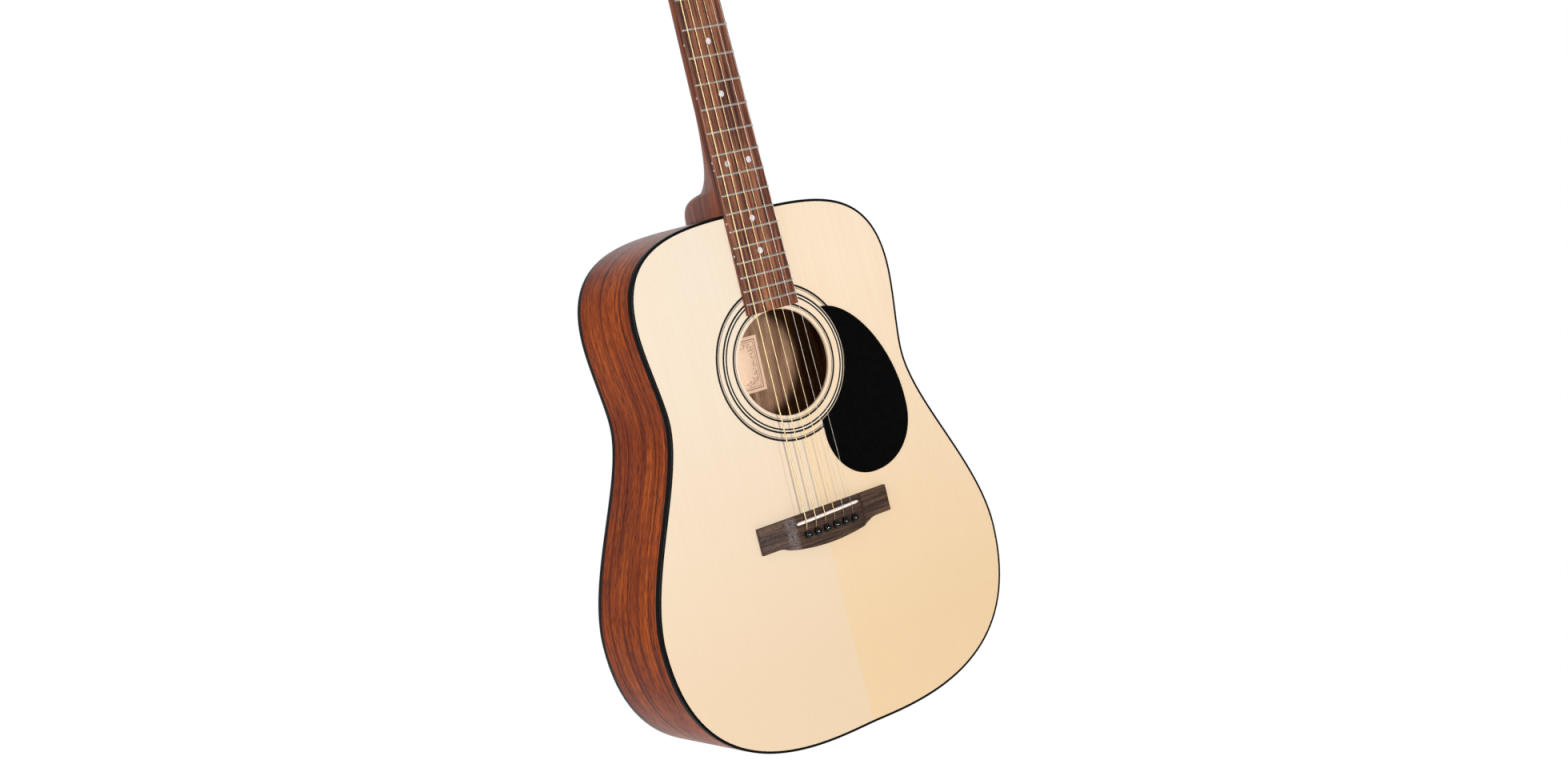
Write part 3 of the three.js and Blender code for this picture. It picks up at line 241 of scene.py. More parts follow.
woods = {
    # quarter-sawn spruce under thin satin lacquer: pale, almost even, with close straight grain, and darkened
    # toward the tail as painted shade
    "spruceBass": {
        "light": "#D2C4B1", "middle": "#D1C2AF", "dark": "#D0C1AE", "spread": 0.14,
        "slowColour": "#D0BEA7", "slowShare": 0.3, "shadeTowardTail": "#CBB497", "blotch": 60, "streak": 5,
        "fine": 1.6, "fineDepth": 0.012, "fleck": 0.8, "fleckDepth": 0.012,
        "bump": 0.05, "roughness": 0.45, "gloss": 0.3},
    # the mate of the other half, cut a little yellower
    "spruceTreble": {
        "light": "#D7C4AC", "middle": "#D6C2A9", "dark": "#D5C0A7", "spread": 0.14,
        "slowColour": "#D5BC9E", "slowShare": 0.3, "shadeTowardTail": "#CDB28D", "blotch": 60, "streak": 5,
        "fine": 1.6, "fineDepth": 0.014, "fleck": 0.8, "fleckDepth": 0.012,
        "bump": 0.05, "roughness": 0.45, "gloss": 0.3},
    # bare sanded spruce inside the box
    "spruceBrace": {
        "light": "#E8D3A8", "middle": "#DFC799", "dark": "#CDB07E", "spread": 0.12,
        "slowColour": "#D8BC88", "slowShare": 0.4, "blotch": 40, "streak": 3,
        "fine": 1.0, "fineDepth": 0.15, "fleck": 0.6, "fleckDepth": 0.06,
        "bump": 0.2, "roughness": 0.75, "gloss": 0.3},
    # stained mahogany, satin lacquered: orange-brown with dark streaks and close short flecks
    "mahoganySide": {
        "light": "#DA661A", "middle": "#B44A10", "dark": "#4A1605", "spread": 0.1, "rare": 0.44,
        "slowColour": "#862C08", "slowShare": 0.6, "blotch": 30, "streak": 5,
        "fine": 1.5, "fineDepth": 0.3, "fleck": 1.2, "fleckDepth": 0.6,
        "bump": 0.4, "roughness": 0.3, "gloss": 0.05, "coat": 0.2},
    "mahoganyBack": {
        "light": "#C56C30", "middle": "#A54D20", "dark": "#66280F", "spread": 0.14,
        "slowColour": "#7E3414", "slowShare": 0.6, "blotch": 55, "streak": 9,
        "fine": 1.8, "fineDepth": 0.3, "fleck": 1.0, "fleckDepth": 0.45,
        "bump": 0.3, "roughness": 0.32, "gloss": 0.4},
    "mahoganyNeck": {
        "light": "#C26634", "middle": "#A34A22", "dark": "#6A2A12", "spread": 0.15,
        "slowColour": "#843818", "slowShare": 0.5, "blotch": 30, "streak": 6,
        "fine": 1.2, "fineDepth": 0.25, "fleck": 0.8, "fleckDepth": 0.3,
        "bump": 0.25, "roughness": 0.36, "gloss": 0.4},
    # unfinished inside faces
    "mahoganyInside": {
        "light": "#C49C7C", "middle": "#A98163", "dark": "#7C5A45", "spread": 0.14,
        "slowColour": "#8C6650", "slowShare": 0.5, "blotch": 20, "streak": 7,
        "fine": 1.6, "fineDepth": 0.2, "fleck": 0.8, "fleckDepth": 0.2,
        "bump": 0.3, "roughness": 0.8, "gloss": 0.3},
    # oiled rosewood: red-brown, striped dark and grey-tan
    "boardWood": {
        "light": "#A26647", "middle": "#75412C", "dark": "#30150D", "spread": 0.09,
        "slowColour": "#663423", "slowShare": 0.4, "blotch": 20, "streak": 2.6,
        "fine": 0.9, "fineDepth": 0.35, "fleck": 0.5, "fleckDepth": 0.35,
        "bump": 0.4, "roughness": 0.55, "gloss": 0.3},
    # the same rosewood sliced thin for the face of the head: calmer figure
    "headWood": {
        "light": "#8A5F4A", "middle": "#6B4535", "dark": "#3E231A", "spread": 0.12,
        "slowColour": "#5C3A2C", "slowShare": 0.4, "blotch": 26, "streak": 3.4,
        "fine": 0.9, "fineDepth": 0.3, "fleck": 0.5, "fleckDepth": 0.3,
        "bump": 0.3, "roughness": 0.42, "gloss": 0.35},
    # the bridge's darker piece, bare, with a pale band painted along the scoop step as a highlight and a
    # fainter pale tone over the wing
    "bridgeWood": {
        "light": "#614633", "middle": "#463024", "dark": "#281913", "spread": 0.12,
        "slowColour": "#39241A", "slowShare": 0.4, "blotch": 12, "streak": 1.8,
        "fine": 0.7, "fineDepth": 0.4, "fleck": 0.5, "fleckDepth": 0.45,
        "bump": 0.6, "roughness": 0.6, "gloss": 0.25},
}


# Painted highlight: a pale, broken band where the scoop of the bass wing starts stands in for the light caught
# by the step, and a fainter pale tone lies over the outer wing.
scoopHighlightAndScuff = {"from": -0.0455, "to": -0.0375, "soft": 0.0026, "colour": "#9C9496", "share": 0.42, "wing": 0.12}


def scoopHighlightedAndScuffed(material):
    tree = material.node_tree
    shader = tree.nodes["Principled BSDF"]
    base = shader.inputs["Base Color"].links[0].from_socket
    coordinates = objectPlace(tree)
    x = addNode(tree, "ShaderNodeSeparateXYZ", {0: coordinates}).outputs["X"]
    soft = scoopHighlightAndScuff["soft"]
    # painted highlight: the band's share rises to full across the scoop's start and falls away inward; the
    # outer wing keeps a faint share
    rise = outOf(tree, "ShaderNodeMapRange", {
        "Value": x, "From Min": scoopHighlightAndScuff["from"] - soft, "From Max": scoopHighlightAndScuff["from"] + soft,
        "To Min": scoopHighlightAndScuff["wing"], "To Max": scoopHighlightAndScuff["share"]})
    fall = outOf(tree, "ShaderNodeMapRange", {
        "Value": x, "From Min": scoopHighlightAndScuff["to"] + soft, "From Max": scoopHighlightAndScuff["to"] - soft})
    bandSpace = outOf(tree, "ShaderNodeMapping", {"Vector": coordinates, "Scale": (260, 900, 2400)})
    bandNoise = noise(tree, bandSpace, 1.0)
    torn = outOf(tree, "ShaderNodeMapRange", {"Value": bandNoise, "From Min": 0.42, "From Max": 0.62})
    share = worked(tree, "MULTIPLY", rise, fall)
    share = worked(tree, "MULTIPLY", share, torn)
    mixed = addNode(tree, "ShaderNodeMix", data_type="RGBA")
    tree.links.new(share, mixed.inputs[0])
    tree.links.new(base, mixed.inputs[6])
    mixed.inputs[7].default_value = toLinear(scoopHighlightAndScuff["colour"])
    tree.links.new(mixed.outputs[2], shader.inputs["Base Color"])
    return material


def coloured(tree, shader, pattern, *stops):
    tint = addNode(tree, "ShaderNodeValToRGB", {"Fac": pattern}, ramp=stops)
    tree.links.new(tint.outputs[0], shader.inputs["Base Color"])


def worn(tree, shader, pattern, least, most):
    sheen = addNode(tree, "ShaderNodeMapRange", {"Value": pattern, "To Min": least, "To Max": most})
    tree.links.new(sheen.outputs[0], shader.inputs["Roughness"])


def bumped(tree, shader, pattern, strength, depth):
    uneven = addNode(tree, "ShaderNodeBump", {"Height": pattern, "Strength": strength, "Distance": depth})
    tree.links.new(uneven.outputs[0], shader.inputs["Normal"])


def noise(tree, coordinates, scale, detail=3, **more):
    inputs = {"Vector": coordinates, "Scale": scale, "Detail": detail, **more}
    return addNode(tree, "ShaderNodeTexNoise", inputs).outputs["Fac"]


# Moulded or buffed plastic: an even colour with a faint cloud in its gloss.
def plastic(name, colour, cloud, roughness, bump=0.02, spot=6, gloss=0.5):
    material, tree, shader = newMaterial(name, Roughness=roughness, IOR=1.5)
    shader.inputs["Specular IOR Level"].default_value = gloss
    clouds = noise(tree, objectPlace(tree), 1000 / spot)
    coloured(tree, shader, clouds, (0.35, colour), (0.65, cloud))
    worn(tree, shader, clouds, roughness * 0.75, roughness * 1.25)
    bumped(tree, shader, clouds, bump, 0.0004)
    return material


# Metal with the fine lines or the slow waviness that its making leaves.
def metal(name, colour, dull, roughness, scale=(300, 300, 300), bump=0.05):
    material, tree, shader = newMaterial(name, Metallic=1.0, Roughness=roughness)
    drawn = outOf(tree, "ShaderNodeMapping", {"Vector": objectPlace(tree), "Scale": scale})
    lines = noise(tree, drawn, 1.0)
    coloured(tree, shader, lines, (0.3, dull), (0.65, colour))
    worn(tree, shader, lines, roughness * 0.7, roughness * 1.4)
    bumped(tree, shader, lines, bump, 0.0002)
    return material


# Round-wound wire: the turns of the cover show as fine ribs along the string.
def woundWire(name, colour, groove, pitch, roughness):
    material, tree, shader = newMaterial(name, Metallic=1.0, Roughness=roughness)
    along = addNode(tree, "ShaderNodeTexCoord").outputs["UV"]
    turns = {"Vector": along, "Scale": 0.314 / pitch, "Distortion": 0.0}
    ribs = addNode(tree, "ShaderNodeTexWave", turns, bands_direction="X").outputs["Fac"]
    coloured(tree, shader, ribs, (0.1, groove), (0.6, colour))
    bumped(tree, shader, ribs, 0.25, 0.0001)
    return material


def pearl(name):
    material, tree, shader = newMaterial(name, Roughness=0.22, IOR=1.6)
    clouds = noise(tree, objectPlace(tree), 500, 4, Distortion=1.5)
    coloured(tree, shader, clouds, (0.35, "#9C9AA0"), (0.5, "#C4C1C4"), (0.65, "#E2DFDF"))
    return material


# Paper, ink and floor paint: an even colour with a fine speckle.
def speckled(name, roughness, scale, detail, dark, light):
    material, tree, shader = newMaterial(name, Roughness=roughness)
    coloured(tree, shader, noise(tree, objectPlace(tree), scale, detail), (0.3, dark), (0.7, light))
    return material


def studioFloor():
    bm = bmesh.new()
    bmesh.ops.create_circle(bm, cap_ends=True, segments=96, radius=lightSet["floorRadius"])
    mesh = bpy.data.meshes.new("floor")
    bm.to_mesh(mesh)
    bm.free()
    floor = bpy.data.objects.new("floor", mesh)
    floor.location.z = lightSet["floorLevel"]
    mesh.materials.append(speckled("floorPaint", 0.9, 40, 3, "#F5F4F3", "#F8F7F6"))
    bpy.context.scene.collection.objects.link(floor)


def makeMaterials():
    made = {
        "spruceBass": wood("lacqueredSpruceBass", woods["spruceBass"]),
        "spruceTreble": wood("lacqueredSpruceTreble", woods["spruceTreble"]),
        "spruceBrace": wood("sandedSpruce", woods["spruceBrace"]),
        "mahoganySide": wood("lacqueredMahoganySide", woods["mahoganySide"], "UV", "Y"),
        "mahoganyBack": wood("lacqueredMahoganyBack", woods["mahoganyBack"]),
        "mahoganyNeck": wood("lacqueredMahoganyNeck", woods["mahoganyNeck"]),
        "mahoganyHead": wood("lacqueredMahoganyHead", woods["mahoganyNeck"], tilt=head["tilt"]),
        "mahoganyInside": wood("bareMahogany", woods["mahoganyInside"]),
        "boardWood": wood("oiledRosewoodBoard", woods["boardWood"]),
        "headWood": wood("oiledRosewoodHead", woods["headWood"], tilt=head["tilt"]),
        "bridgeWood": scoopHighlightedAndScuffed(wood("bareRosewoodBridge", woods["bridgeWood"], "Object", "X")),
        # buffed black ABS: deep gloss with a soft edge highlight
        "black": plastic("buffedBlackPlastic", "#050506", "#09090A", 0.16, gloss=0.3),
        # scraped and sanded binding strip: black with a dull shine along its corner
        "bindingBlack": plastic("scrapedBlackBinding", "#040405", "#070707", 0.3, gloss=0.08),
        # turned and buffed pins: a small sharp highlight on each head
        "pinBlack": plastic("turnedBlackPin", "#030303", "#060606", 0.12, gloss=0.45),
        "blackSheet": plastic("polishedBlackSheet", "#030303", "#050505", 0.14, gloss=0.06),
        # moulded urea nut and saddle: warm white, slightly waxy
        "ivory": plastic("mouldedIvoryPlastic", "#E4D7CF", "#DACBC2", 0.35, 0.05, 3),
        "inlayWhite": plastic("inlaidWhiteLine", "#DCD0BC", "#D4C6B0", 0.4),
        "inlayDark": plastic("inlaidDarkLine", "#0C0907", "#15110E", 0.4, gloss=0.2),
        # plated die-cast parts: bright with a slight haze
        "nickel": metal("platedNickel", "#DADCDF", "#B9BCC0", 0.16),
        # drawn nickel silver fret wire
        "fretWire": metal("nickelSilverFret", "#F0ECE2", "#CFC9BD", 0.28, (40, 900, 900)),
        "plainSteel": metal("drawnSteelWire", "#C9C3B8", "#A8A298", 0.38, (900, 900, 60)),
        "rodSteel": metal("zincPlatedSteel", "#A9ABAE", "#85878A", 0.4),
        "gearBrass": metal("machinedBrass", "#C9A25A", "#A47F3E", 0.28),
        "bronze": woundWire("bronzeWoundWire", "#D9C49A", "#BFA470", 0.4, 0.36),
        "pearl": pearl("pearlInlay"),
    }
    print("materials made")
    return made


def link(name, mesh):
    piece = bpy.data.objects.new(name, mesh)
    bpy.context.scene.collection.objects.link(piece)
    return piece


# verts are in the maker's millimetres unless where() takes another kind. uvs are per vertex.
def meshPiece(name, verts, faces, material, uvs=None, sharp=35, where=place):
    mesh = bpy.data.meshes.new(name)
    mesh.from_pydata([where(v) for v in verts], [], faces)
    if uvs:
        layer = mesh.uv_layers.new(name="grain")
        for loop in mesh.loops:
            layer.data[loop.index].uv = uvs[loop.vertex_index]
    bm = bmesh.new()
    bm.from_mesh(mesh)
    bmesh.ops.recalc_face_normals(bm, faces=bm.faces)
    bm.to_mesh(mesh)
    bm.free()
    mesh.shade_smooth()
    mesh.set_sharp_from_angle(angle=math.radians(sharp))
    mesh.materials.append(material)
    return link(name, mesh)


def smooth(t):
    t = min(1, max(0, t))
    return t * t * (3 - 2 * t)


def bezierPoint(curve, t):
    u = 1 - t
    a, b, c, d = curve
    return tuple(u**3 * a[i] + 3 * u * u * t * b[i] + 3 * u * t * t * c[i] + t**3 * d[i] for i in (0, 1))


def bezierSlope(curve, t):
    u = 1 - t
    a, b, c, d = curve
    return tuple(
        3 * u * u * (b[i] - a[i]) + 6 * u * t * (c[i] - b[i]) + 3 * t * t * (d[i] - c[i]) for i in (0, 1)
    )


def bezierPath(curves, steps, close=True):
    points = [bezierPoint(curve, k / steps) for curve in curves for k in range(steps)]
    return points + [curves[-1][3]] if close else points


# Faces between closed rings of equal length. The stack closes on itself if along is set, and is capped if not.
def skin(rows, along=False):
    count, faces = len(rows[0]), []
    for i in range(len(rows) if along else len(rows) - 1):
        for j in range(count):
            start, step = i * count, (i + 1) % len(rows) * count
            faces.append((start + j, start + (j + 1) % count, step + (j + 1) % count, step + j))
    if not along:
        last = (len(rows) - 1) * count
        faces += [tuple(reversed(range(count))), tuple(range(last, last + count))]
    return [v for row in rows for v in row], faces


def skinned(name, rows, material, **more):
    verts, faces = skin(rows)
    return meshPiece(name, verts, faces, material, **more)


# Several meshes become one piece.
def joined(name, pieces):
    bm = bmesh.new()
    materials = []
    for piece in pieces:
        start = len(bm.faces)
        bm.from_mesh(piece.data)
        bm.faces.ensure_lookup_table()
        for face in bm.faces[start:]:
            face.material_index += len(materials)
        materials += list(piece.data.materials)
    mesh = bpy.data.meshes.new(name)
    bm.to_mesh(mesh)
    bm.free()
    for material in materials:
        mesh.materials.append(material)
    for piece in pieces:
        bpy.data.objects.remove(piece)
    return link(name, mesh)


def finish(piece, body, slot, *nodes):
    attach(piece, body)
    if nodes:
        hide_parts(*nodes)
    return piece


# A turned shape: profile of (radius, height) about the local z axis, moved by where().
def turned(name, profile, material, where=place, segments=40, sharp=35):
    rows = []
    for r, h in profile:
        r = max(r, 0.001)
        around = [2 * math.pi * k / segments for k in range(segments)]
        rows.append([(r * math.cos(a), r * math.sin(a), h) for a in around])
    return skinned(name, rows, material, sharp=sharp, where=where)


# A flat shape with a rounded edge: the outline is drawn in by the edge's radius at top and bottom.
def softSlab(name, outline, low, high, edge, material, where=place, both=True, steps=4):
    def drawnIn(amount):
        count = len(outline)
        ring = []
        for i, (x, y) in enumerate(outline):
            ax, ay = outline[i - 1]
            bx, by = outline[(i + 1) % count]
            tx, ty = bx - ax, by - ay
            length = math.hypot(tx, ty) or 1
            ring.append((x - ty / length * amount * way, y + tx / length * amount * way))
        return ring

    area = sum(
        outline[i - 1][0] * outline[i][1] - outline[i][0] * outline[i - 1][1] for i in range(len(outline))
    )
    way = 1 if area > 0 else -1
    quarter = [math.pi / 2 * k / steps for k in range(steps + 1)]
    below = [
        (edge * (1 - math.sin(a)), low + edge * (1 - math.cos(a))) for a in quarter
    ] if both else [(0, low)]
    levels = below + [(edge * (1 - math.cos(a)), high - edge * (1 - math.sin(a))) for a in quarter]
    rows = [[(x, y, z) for x, y in drawnIn(amount)] for amount, z in levels]
    return skinned(name, rows, material, sharp=50, where=where)


socketKinds = {
    float: "NodeSocketFloat", int: "NodeSocketInt", tuple: "NodeSocketVector",
    bpy.types.Material: "NodeSocketMaterial", bpy.types.Object: "NodeSocketObject",
}


def spacedAlong(tree, given):
    path = outOf(tree, "GeometryNodeMeshToCurve", {"Mesh": given["Geometry"]})
    return outOf(
        tree, "GeometryNodeResampleCurve", {"Curve": path, "Length": given["Spacing"]}, mode="LENGTH"
    )


# Puts a shape on every point, makes the copies real and gives them their material.
def copiesOn(tree, points, shape, material, **more):
    placed = outOf(tree, "GeometryNodeInstanceOnPoints", {"Points": points, "Instance": shape, **more})
    real = outOf(tree, "GeometryNodeRealizeInstances", {0: placed})
    return outOf(tree, "GeometryNodeSetMaterial", {"Geometry": real, "Material": material})


# Runs a geometry nodes tree on a mesh and gives back the plain result.
def grown(name, mesh, build, values):
    tree = bpy.data.node_groups.new(name, "GeometryNodeTree")
    tree.interface.new_socket("Geometry", in_out="INPUT", socket_type="NodeSocketGeometry")
    named = {}
    for label, value in values.items():
        named[label] = tree.interface.new_socket(label, in_out="INPUT", socket_type=socketKinds[type(value)])
    tree.interface.new_socket("Geometry", in_out="OUTPUT", socket_type="NodeSocketGeometry")
    enter = addNode(tree, "NodeGroupInput")
    leave = addNode(tree, "NodeGroupOutput")
    tree.links.new(build(tree, enter.outputs), leave.inputs[0])
    host = link(name + "Host", mesh)
    modifier = host.modifiers.new(name, "NODES")
    modifier.node_group = tree
    for label, value in values.items():
        modifier[named[label].identifier] = value
    evaluated = host.evaluated_get(bpy.context.evaluated_depsgraph_get())
    result = bpy.data.meshes.new_from_object(evaluated)
    host.modifiers.remove(modifier)
    bpy.data.objects.remove(host)
    result.shade_smooth()
    result.set_sharp_from_angle(angle=math.radians(35))
    return link(name, result)


scaleLength = 643.0


def fretAt(n):
    return -scaleLength * (1 - 2 ** (-n / 12))


body = {
    "top": fretAt(14),
    "length": 503,
    "upper": (82, 144.5),
    "waist": (165.5, 136.5),
    "lower": (364, 198.5),
    "handles": (73, 83, 26, 21.5, 54, 68, 152, 47),
    "depthAtNeck": 105,
    "depthAtTail": 131,
    "backRadius": 6000,
    "sideThickness": 2.2,
    "topThickness": 3,
    "backThickness": 2.5,
}
holeY = fretAt(20) - 10.2 - 0.3 - 50


def backZ(x, y):
    share = (body["top"] - y) / body["length"]
    depth = body["depthAtNeck"] + (body["depthAtTail"] - body["depthAtNeck"]) * share
    return -depth + x * x / (2 * body["backRadius"])


# One half of the outline as (x, y, outward x, outward y, distance along the rim).
def halfOutline(steps=40):
    a1, a2, b1, b2, c1, c2, d1, d2 = body["handles"]
    (sU, hU), (sW, hW), (sL, hL), end = body["upper"], body["waist"], body["lower"], body["length"]
    curves = [
        [(0, 0), (a1, 0), (hU, sU - a2), (hU, sU)],
        [(hU, sU), (hU, sU + b1), (hW, sW - b2), (hW, sW)],
        [(hW, sW), (hW, sW + c1), (hL, sL - c2), (hL, sL)],
        [(hL, sL), (hL, sL + d1), (d2, end), (0, end)],
    ]
    stations, run = [], 0
    for c, curve in enumerate(curves):
        for k in range(0 if c == 0 else 1, steps + 1):
            point, slope = bezierPoint(curve, k / steps), bezierSlope(curve, k / steps)
            size = math.hypot(*slope)
            x, y = point[0], body["top"] - point[1]
            tx, ty = slope[0] / size, -slope[1] / size
            if stations:
                run += math.hypot(x - stations[-1][0], y - stations[-1][1])
            stations.append((x, y, -ty, tx, run))
    return stations


def rim(side, neckX=0.0, tailX=0.0):
    half = halfOutline()
    middle = len(half) // 2
    kept = [s for i, s in enumerate(half) if s[0] >= (neckX if i < middle else tailX)]
    return [(side * x, y, side * nx, ny, run) for x, y, nx, ny, run in kept]


def wholeRim():
    right, left = rim(1), rim(-1)
    total = right[-1][4]
    around = [(x, y, nx, ny, 2 * total - run) for x, y, nx, ny, run in left[1:-1]]
    return right + around[::-1]


def inward(station, offset):
    x, y, nx, ny, run = station
    return x - nx * offset, y - ny * offset


binding = {"width": 2.5, "height": 6.5, "round": 0.6}
hole = {"radius": 50}


def soundboards(made):
    t = body["topThickness"]
    for side, name, node in (
        (-1, "topBassHalf", "soundboard_bass"), (1, "topTrebleHalf", "soundboard_treble")
    ):
        outline = [inward(s, binding["width"]) for s in rim(side)]
        outline[0], outline[-1] = (0, outline[0][1]), (0, outline[-1][1])
        arc = [
            (side * hole["radius"] * math.cos(a), holeY + hole["radius"] * math.sin(a))
            for a in [math.radians(-90 + 180 * k / 72) for k in range(73)]
        ]
        arc[0], arc[-1] = (0, arc[0][1]), (0, arc[-1][1])
        shape = outline + arc
        soft = 0.4  # eased edge of the soundhole
        edgeStart = len(outline)
        rows = []
        for z, pull in ((-t, 0), (-soft, 0), (0, soft)):
            row = []
            for i, (x, y) in enumerate(shape):
                if i >= edgeStart:
                    share = (hole["radius"] + pull) / hole["radius"]
                    x, y = x * share, holeY + (y - holeY) * share
                row.append((x, y, z))
            rows.append(row)
        finish(
            skinned(name, rows, made["spruceBass" if side < 0 else "spruceTreble"], sharp=30),
            "guitar", "spruce_bass" if side < 0 else "spruce_treble", node,
        )


def rimSweep(stations, section, loop):
    rows, uvs = [], []
    for s in stations:
        ring, walked = [], 0
        for k, (offset, z) in enumerate(section(s)):
            x, y = inward(s, offset)
            if k:
                walked += math.hypot(x - ring[-1][0], z - ring[-1][2]) + abs(y - ring[-1][1])
            ring.append((x, y, z))
            uvs.append((s[4], walked))
        rows.append(ring)
    verts, faces = skin(rows, along=loop)
    return verts, faces, uvs


def bindings(made):
    r, width, height = binding["round"], binding["width"], binding["height"]
    arc = [
        (r * (1 - math.sin(math.radians(a))), -r * (1 - math.cos(math.radians(a)))) for a in range(0, 91, 15)
    ]
    for name, node, out in (("topEdgeBinding", "top_binding", 1), ("backEdgeBinding", "back_binding", -1)):
        def section(s):
            def face(offset):
                return 0 if out > 0 else backZ(*inward(s, offset))
            top = [(width, face(width) + out * 0.02)] + [(o, face(o) + out * z) for o, z in arc]
            return top + [(0, face(0) - out * height), (width, face(width) - out * height)]
        verts, faces, uvs = rimSweep(wholeRim(), section, True)
        finish(meshPiece(name, verts, faces, made["bindingBlack"], sharp=50), "guitar", "black_plastic", node)


def sides(made):
    for side, name, node in ((-1, "sideBass", "side_bass"), (1, "sideTreble", "side_treble")):
        def section(s):
            back = backZ(s[0], s[1]) + binding["height"]
            inner = body["sideThickness"]
            return [(inner, -binding["height"]), (0, -binding["height"]), (0, back), (inner, back)]
        verts, faces, uvs = rimSweep(rim(side, 10.6, 7.4), section, False)
        # the two sides are cut from different stretches of the board
        grain = [(z + side * 37, along) for (x, y, z), (along, walked) in zip(verts, uvs)]
        piece = meshPiece(name, verts, faces, made["mahoganySide"], grain, sharp=50)
        finish(piece, "guitar", "mahogany", node)
    wedge = 7
    back = backZ(0, body["top"] - body["length"]) + binding["height"]
    tail = body["top"] - body["length"]
    outline = [(-wedge, -binding["height"]), (wedge, -binding["height"]), (wedge, back), (-wedge, back)]
    piece = softSlab(
        "tailWedge", outline, -body["sideThickness"], 0.05, 0.05, made["black"],
        lambda p: place((p[0], tail - p[2], p[1])),
    )
    finish(piece, "guitar", "black_plastic", "tail_wedge")


def backPlate(made):
    stations = wholeRim()
    middle = (0, body["top"] - body["length"] / 2)
    shares = [0.02, 0.15, 0.3, 0.45, 0.6, 0.75, 0.88, 1]
    rows = []
    for lift, order in ((0, shares), (body["backThickness"], shares[::-1])):
        for share in order:
            ring = []
            for s in stations:
                x, y = inward(s, binding["width"])
                x, y = middle[0] + (x - middle[0]) * share, middle[1] + (y - middle[1]) * share
                ring.append((x, y, backZ(x, y) + lift))
            rows.append(ring)
    piece = skinned("backPlate", rows, made["mahoganyBack"], sharp=50)
    piece.data.materials.append(made["mahoganyInside"])
    half = len(piece.data.polygons) // 2
    for i, polygon in enumerate(piece.data.polygons):
        if i >= half and polygon.normal.y < 0:
            polygon.material_index = 1
    finish(piece, "guitar", "mahogany", "back_plate")


rosetteRings = {
    # radius inside, radius outside, inlay
    "innerLineFine": (53.4, 53.9, "inlayDark"),
    "innerLine": (54.6, 56.5, "inlayDark"),
    "middleLineInner": (62.5, 64.1, "inlayDark"),
    "middleLineWhite": (64.1, 65.3, "inlayWhite"),
    "middleLineOuter": (65.3, 67.2, "inlayDark"),
    "outerLineFine": (71.1, 71.7, "inlayDark"),
    "outerLine": (72.4, 74.5, "inlayDark"),
}


def rosette(made):
    for name, (inside, outside, inlay) in rosetteRings.items():
        profile = [(inside, -1.2), (outside, -1.2), (outside, 0.05), (inside, 0.05)]
        rows = [
            [
                (r * math.cos(2 * math.pi * k / 160), holeY + r * math.sin(2 * math.pi * k / 160), z) for r,
                z in profile
            ]
            for k in range(160)
        ]
        verts, faces = skin(rows, along=True)
        piece = meshPiece(name, verts, faces, made[inlay], sharp=30)
        if name.startswith("middle"):
            finish(piece, "guitar", "black_plastic", "rosette_ring")
        else:
            finish(piece, "guitar", "black_plastic")


label = {"x": (-44.4, 44.4), "y": (-531.6, -476)}


def insideLabel():
    material = speckled("printedPaperLabel", 0.7, 400, 4, "#FAD0AE", "#FFDDC0")
    ink = speckled("printedBrownInk", 0.7, 900, 2, "#9A6A52", "#B07E64")
    (x0, x1), (y0, y1) = label["x"], label["y"]

    def onBack(p):
        return place((p[0], p[1], backZ(p[0], p[1]) + body["backThickness"] + p[2]))

    def sheet(x0, x1, y0, y1, low, high):
        xs = [x0 + (x1 - x0) * k / 12 for k in range(13)]
        ys = [y0 + (y1 - y0) * k / 8 for k in range(9)]
        verts = [(x, y, z) for z in (low, high) for y in ys for x in xs]
        faces = []
        for j in range(8):
            for i in range(12):
                a = j * 13 + i
                faces.append((a + 117, a + 118, a + 131, a + 130))
                faces.append((a, a + 13, a + 14, a + 1))
        edge = [j * 13 for j in range(9)] + [8 * 13 + i for i in range(1, 13)]
        edge += [j * 13 + 12 for j in range(7, -1, -1)] + [i for i in range(11, 0, -1)]
        for a, b in zip(edge, edge[1:] + edge[:1]):
            faces.append((a, b, b + 117, a + 117))
        return verts, faces

    paper = meshPiece("labelPaper", *sheet(x0, x1, y0, y1, 0.05, 0.25), material, where=onBack)
    parts = []
    for inset, wide in ((3, 0.9), (5.2, 0.5)):
        a0, a1, b0, b1 = x0 + inset, x1 - inset, y0 + inset, y1 - inset
        for box in (
            (a0, a1, b0, b0 + wide), (a0, a1, b1 - wide, b1), (a0, a0 + wide, b0 + wide, b1 - wide),
            (a1 - wide, a1, b0 + wide, b1 - wide)
        ):
            parts.append(meshPiece("line", *sheet(*box, 0.24, 0.3), ink, where=onBack))
    sprigs = leafBorder(ink, (x0 + 9, x1 - 9, y0 + 9, y1 - 9))
    finish(paper, "guitar", "mahogany")
    finish(joined("labelPrint", parts + [sprigs]), "guitar", "mahogany")


leaf = {"spacing": 1.15, "length": 1.9, "width": 0.62, "scatter": 2.1, "seed": 5}


